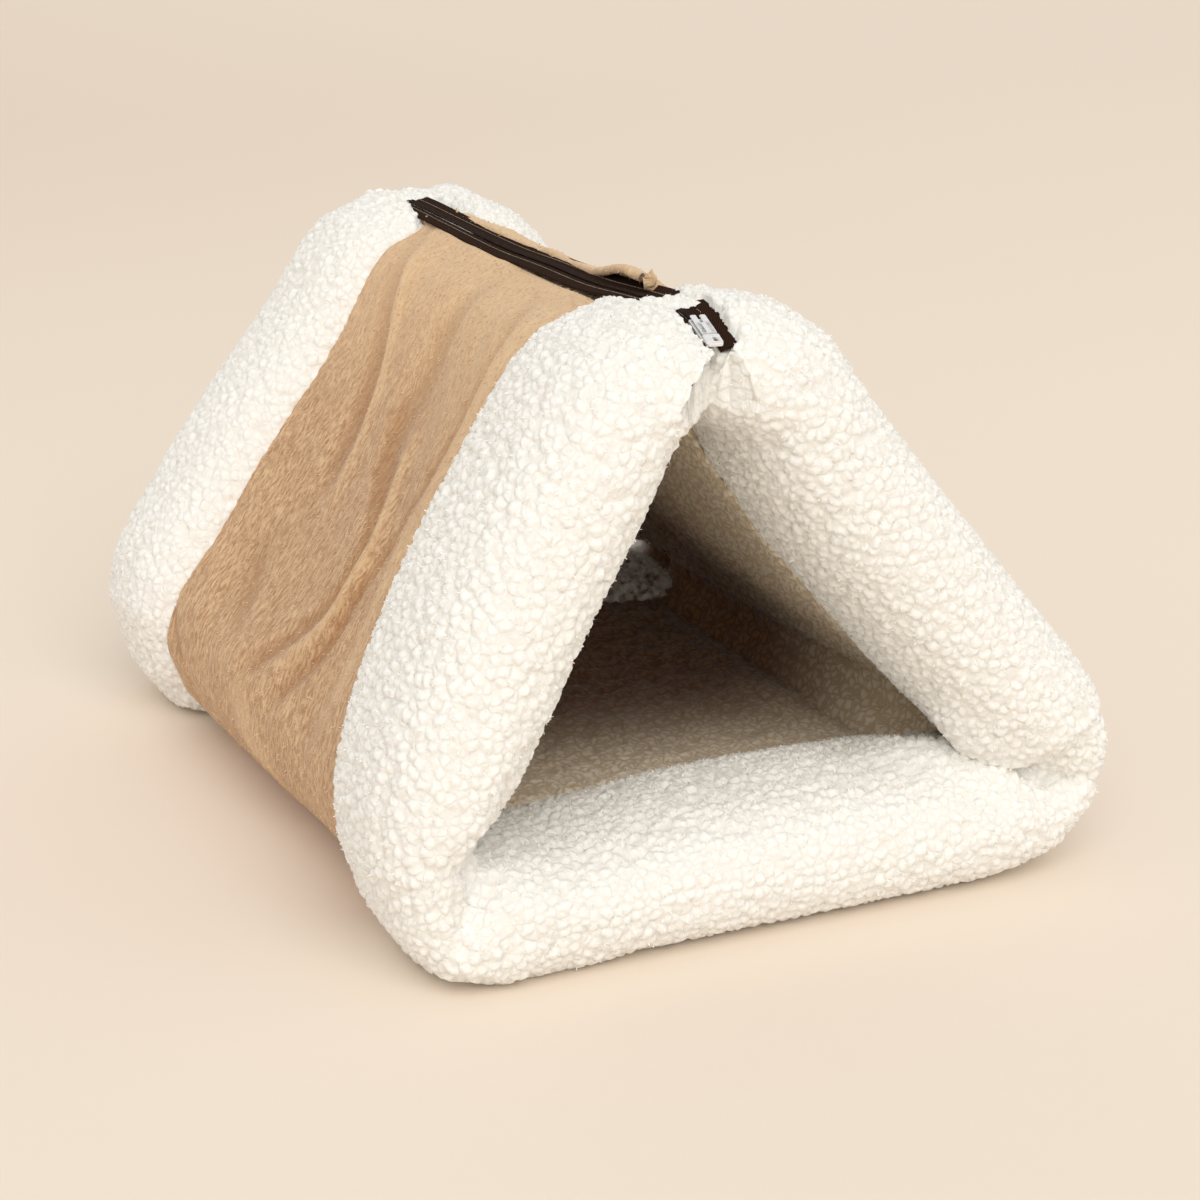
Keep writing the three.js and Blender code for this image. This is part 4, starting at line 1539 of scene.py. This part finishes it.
@dataclass
class Zip:
    """The coil zip along the closed edge, with its tapes and stitches.

    Args:
        pitch: from turn to turn of the coil, in metres.
        bar: how far a turn reaches across, in metres.
        bar_thick: how thick it is, in metres.
        apart: how far each row of turns stands from the middle, in metres.
        raised: how far the rows stand above the chain's middle line, in metres.
        slant: how far a turn leans along the zip, in degrees.
        stitch: a stitch's length in metres.
        stitch_pitch: from stitch to stitch, in metres.
        stitch_thick: the thread's thickness in metres.
        stitch_rows: each row's distance from the middle and its height on the tape, in millimetres.
        tape_end: where the tapes end at the front, in metres.
        tape_fall: how far their cut ends are drawn down for each metre of the solid beyond that.
        tape_drift: how far they are drawn across for it.
        chain_end: where the coil ends at the front, in metres.
    """

    pitch: float = 1.5 * MM
    bar: float = 4.6 * MM
    bar_thick: float = 1.15 * MM
    apart: float = 1.15 * MM
    raised: float = 0.5 * MM
    slant: float = 14.0
    stitch: float = 1.2 * MM
    stitch_pitch: float = 2.1 * MM
    stitch_thick: float = 0.42 * MM
    stitch_rows: tuple[tuple[float, float], ...] = ((2.7, 1.0), (6.6, 0.15))
    tape_end: float = -269.0 * MM
    tape_fall: float = 0.53
    tape_drift: float = 0.06
    chain_end: float = -262.0 * MM

    def build(self, shop: Workshop) -> Object:
        """Builds and dresses the tapes, the coil and the stitches.

        Args:
            shop: the shared trees and finishes.

        Returns:
            The coil.
        """
        for side in ("left", "right"):
            name = f"zip_tape_{side}"
            mesh = shop.node(name).data.copy()
            points = read_points(mesh)
            beyond = np.maximum(self.tape_end - points[:, 1], 0)
            points += beyond[:, None] * np.array([self.tape_drift, 1.0, self.tape_fall])
            move_points(mesh, points)
            fit(link(f"{name}_twill", mesh, shop.twill), [name])
        line = chain_line(shop.node("zip_teeth"))
        line = line[line[:, 1] > self.chain_end]
        teeth = self.chain(shop, line)
        self.stitches(shop, line)
        return teeth

    def row(self, shop: Workshop, name: str, line: np.ndarray, sizes: Mapping[str, object]) -> Mesh:
        """One row of grains along a line.

        Args:
            shop: the shared trees and finishes.
            name: the row's name.
            line: the line's points.
            sizes: the grains' sizes and material.

        Returns:
            The grains.
        """
        mesh = bpy.data.meshes.new(name)
        mesh.from_pydata(line.tolist(), [(i, i + 1) for i in range(len(line) - 1)], [])
        guide = link(name, mesh)
        grains = shop.row.grow(guide, sizes)
        bpy.data.objects.remove(guide)
        return grains

    def chain(self, shop: Workshop, line: np.ndarray) -> Object:
        """Two rows of coil turns that meet in the middle, half a pitch apart.

        Args:
            shop: the shared trees and finishes.
            line: the zip's middle line.

        Returns:
            The coil.
        """
        meshes = []
        for side in (-1, 1):
            moved = line + np.array([side * self.apart, side * self.pitch / 4, self.raised])
            turn = math.radians(90 + side * self.slant)
            sizes = {"Pitch": self.pitch, "Long": self.bar, "Thick": self.bar_thick, "Turn": turn}
            meshes.append(self.row(shop, "coil_row", moved, sizes | {"Finish": shop.nylon}))
        return fit(link("zip_coil", joined(meshes, shop.nylon)), ["zip_teeth"])

    def stitches(self, shop: Workshop, line: np.ndarray) -> Object:
        """Rows of lighter lockstitch along both tapes.

        Args:
            shop: the shared trees and finishes.
            line: the zip's middle line.

        Returns:
            The stitches.
        """
        meshes = []
        above, down = 20 * MM, Vector((0, 0, -1))
        sizes = {"Pitch": self.stitch_pitch, "Long": self.stitch, "Thick": self.stitch_thick, "Turn": 0.0}
        for side, tape in ((-1, "zip_tape_left"), (1, "zip_tape_right")):
            shell = bmesh.new()
            shell.from_mesh(shop.node(tape).data)
            tree = BVHTree.FromBMesh(shell)
            for across, up in self.stitch_rows:
                row = []
                for x, y, z in line:
                    start = Vector((x + side * across * MM, y, z + above))
                    hit, _, _, _ = tree.ray_cast(start, down, 2 * above)
                    if hit is not None:
                        row.append(hit + Vector((0, 0, up * MM)))
                meshes.append(self.row(shop, "stitch_row", np.array(row), sizes | {"Finish": shop.thread}))
            shell.free()
        return fit(link("zip_stitches", joined(meshes, shop.thread)))


def joined(meshes: Sequence[Mesh], material: Material) -> Mesh:
    """Several meshes as one, of one material.

    Args:
        meshes: the meshes.
        material: their material.

    Returns:
        The one mesh.
    """
    whole = bmesh.new()
    for mesh in meshes:
        whole.from_mesh(mesh)
    result = bpy.data.meshes.new("joined")
    whole.to_mesh(result)
    whole.free()
    result.materials.append(material)
    result.polygons.foreach_set("use_smooth", [True] * len(result.polygons))
    result.polygons.foreach_set("material_index", [0] * len(result.polygons))
    return result


@dataclass
class Slider:
    """The plated slider with its notched plate, and the pull's loop lying at its lower end.

    Each bar has its size and its middle in millimetres: across the zip, along it towards the back, and up
    from the chain.

    Args:
        at: where its middle is along the tunnel, in millimetres.
        span: how far to each side of it the chain's slope is taken, in millimetres.
        edge: how wide its bars' edges are rounded, in metres.
        plate: the slider's bars.
        loop: the pull's bars.
    """

    at: float = -255.0
    span: float = 8.0
    edge: float = 0.45 * MM
    plate: tuple[Bar, ...] = (
        ((9.4, 18.0, 2.8), (0.0, 1.5, 0.2)),
        ((3.4, 17.0, 1.3), (-2.6, 2.5, 3.3)),
        ((3.4, 17.0, 1.3), (2.6, 2.5, 3.3)),
        ((8.0, 10.0, 1.3), (0.0, -0.9, 3.3)),
        ((3.4, 6.0, 2.4), (0.0, -2.0, 2.1)),
    )
    loop: tuple[Bar, ...] = (
        ((9.2, 2.6, 2.2), (0.0, -8.0, 2.8)),
        ((4.6, 5.4, 2.2), (-2.3, -11.0, 2.6)),
        ((1.8, 5.4, 2.2), (3.7, -11.0, 2.6)),
        ((8.2, 2.6, 2.2), (0.0, -13.8, 2.4)),
    )

    def build(self, shop: Workshop) -> Object:
        """Builds the slider and the pull's loop on the chain's slope.

        Args:
            shop: the shared trees and finishes.

        Returns:
            The slider.
        """
        line = chain_line(shop.node("zip_teeth"))
        low, middle, high = (self.spot(line, self.at + step) for step in (-self.span, 0, self.span))
        along = (high - low).normalized()
        up = Vector((1, 0, 0)).cross(along).normalized()
        place = Matrix((along.cross(up), along, up)).transposed().to_4x4()
        place.translation = middle
        slider = self.bars(shop, "slider_plate", self.plate, place, "zip_slider")
        self.bars(shop, "pull_loop", self.loop, place, "zip_pull")
        return slider

    def spot(self, line: np.ndarray, along: float) -> Vector:
        """The chain's middle at a place along the tunnel, in millimetres."""
        return Vector((np.interp(along * MM, line[:, 1], line[:, k]) for k in range(3)))

    def bars(self, shop: Workshop, name: str, bars: tuple[Bar, ...], place: Matrix, node: str) -> Object:
        """Joins bars with rounded edges.

        Args:
            shop: the shared finishes.
            name: the piece's name.
            bars: its bars.
            place: where the slider's middle is and how it is turned.
            node: the solid it stands for.

        Returns:
            The piece.
        """
        shell = bmesh.new()
        for size, middle in bars:
            made = bmesh.ops.create_cube(shell, size=1.0)["verts"]
            bmesh.ops.scale(shell, vec=Vector(size) * MM, verts=made)
            bmesh.ops.translate(shell, vec=Vector(middle) * MM, verts=made)
        bmesh.ops.bevel(shell, geom=shell.edges[:], offset=self.edge, segments=2, affect="EDGES")
        bmesh.ops.transform(shell, matrix=place, verts=shell.verts)
        mesh = bpy.data.meshes.new(name)
        shell.to_mesh(mesh)
        shell.free()
        return fit(link(name, mesh, shop.nickel), [node])


@dataclass
class Studio:
    """A pale floor, soft light and the camera at the photograph's view.

    Args:
        eye: where the camera stands, in metres.
        yaw: how far it is turned round, in degrees.
        pitch: how far it looks down, in degrees.
        sensor: its sensor's width in millimetres.
        focal: its focal length in millimetres.
        floor_half: half the floor's width in metres.
        key: the key light's strength.
        key_from: where it comes from.
        key_wide: how wide it is, in degrees.
        surround: the even light's strength.
    """

    eye: tuple[float, float, float] = (-0.59515, -1.3136, 0.5692)
    yaw: float = -25.3
    pitch: float = 17.6
    sensor: float = 36
    focal: float = 2415 / 1200 * 36
    floor_half: float = 14.0
    key: float = 1.6
    key_from: tuple[float, float, float] = (-0.3, -1.0, 0.95)
    key_wide: float = 55
    surround: float = 0.64

    def build(self) -> None:
        """Sets the stage."""
        self.floor()
        self.lights()
        self.camera()

    def floor(self) -> None:
        """A pale floor with the faintest random unevenness of tone, painted a little darker far off, most on
        the left, as painted shade.
        """
        finish = Finish("pale_floor", roughness=0.9)
        canvas, place = finish.canvas, finish.place()
        cloud = canvas.noise(place, 2.0, 1.0).outputs["Fac"]
        # Painted shade: the floor is painted darker far off, most on the left.
        far = canvas.ease(canvas.axis(place, "Y"), -1.0, 4.0)
        right = canvas.ease(canvas.axis(place, "X"), -1.0, 3.0)
        distant_shaded = canvas.blend(right, linear(229, 211, 192), linear(235, 219, 202))
        near = canvas.blend(cloud, linear(243, 229, 213), linear(245, 231, 215))
        finish.colour(canvas.blend(far, near, distant_shaded))
        h = self.floor_half
        mesh = bpy.data.meshes.new("floor")
        mesh.from_pydata([(-h, -h, 0), (h, -h, 0), (h, h, 0), (-h, h, 0)], [], [(0, 1, 2, 3)])
        link("floor", mesh, finish.material)

    def lights(self) -> None:
        """A wide soft key from above and an even surround."""
        light = bpy.data.lights.new("key", "SUN")
        light.angle = math.radians(self.key_wide)
        light.energy = self.key
        light.color = (1.0, 0.99, 0.97)
        shown = bpy.data.objects.new("key", light)
        shown.rotation_mode = "QUATERNION"
        shown.rotation_quaternion = (-Vector(self.key_from)).to_track_quat("-Z", "Y")
        bpy.context.scene.collection.objects.link(shown)
        world = bpy.data.worlds.new("surround")
        world.use_nodes = True
        background = world.node_tree.nodes["Background"]
        background.inputs["Color"].default_value = (1.0, 0.985, 0.96, 1.0)
        background.inputs["Strength"].default_value = self.surround
        bpy.context.scene.world = world
        bpy.context.scene.view_settings.view_transform = "Standard"

    def camera(self) -> None:
        """The camera, by its place and two angles."""
        turn, rise = math.radians(self.yaw), math.radians(self.pitch)
        back = Vector((math.sin(turn) * math.cos(rise), -math.cos(turn) * math.cos(rise), math.sin(rise)))
        lens = bpy.data.cameras.new("view")
        lens.lens = self.focal
        lens.sensor_width = self.sensor
        shown = bpy.data.objects.new("view", lens)
        shown.location = self.eye
        shown.rotation_mode = "QUATERNION"
        shown.rotation_quaternion = (-back).to_track_quat("-Z", "Y")
        bpy.context.scene.collection.objects.link(shown)
        bpy.context.scene.camera = shown


def main() -> None:
    """Builds the bed piece by piece, logging each, then the studio."""
    logging.basicConfig(level=logging.INFO, format="%(name)s: %(message)s")
    shop = Workshop()
    front = Border(Mouth.FRONT, FRONT_FOLDS)
    back = Border(Mouth.BACK, BACK_FOLDS, step=2.8 * MM, tufts=replace(TUFTS, density=18_000.0))
    for part in (front, back, Lining(), Cover(), Zip(), Slider()):
        log.info("built %s", part.build(shop).name)
    Studio().build()


if __name__ == "__main__":
    main()
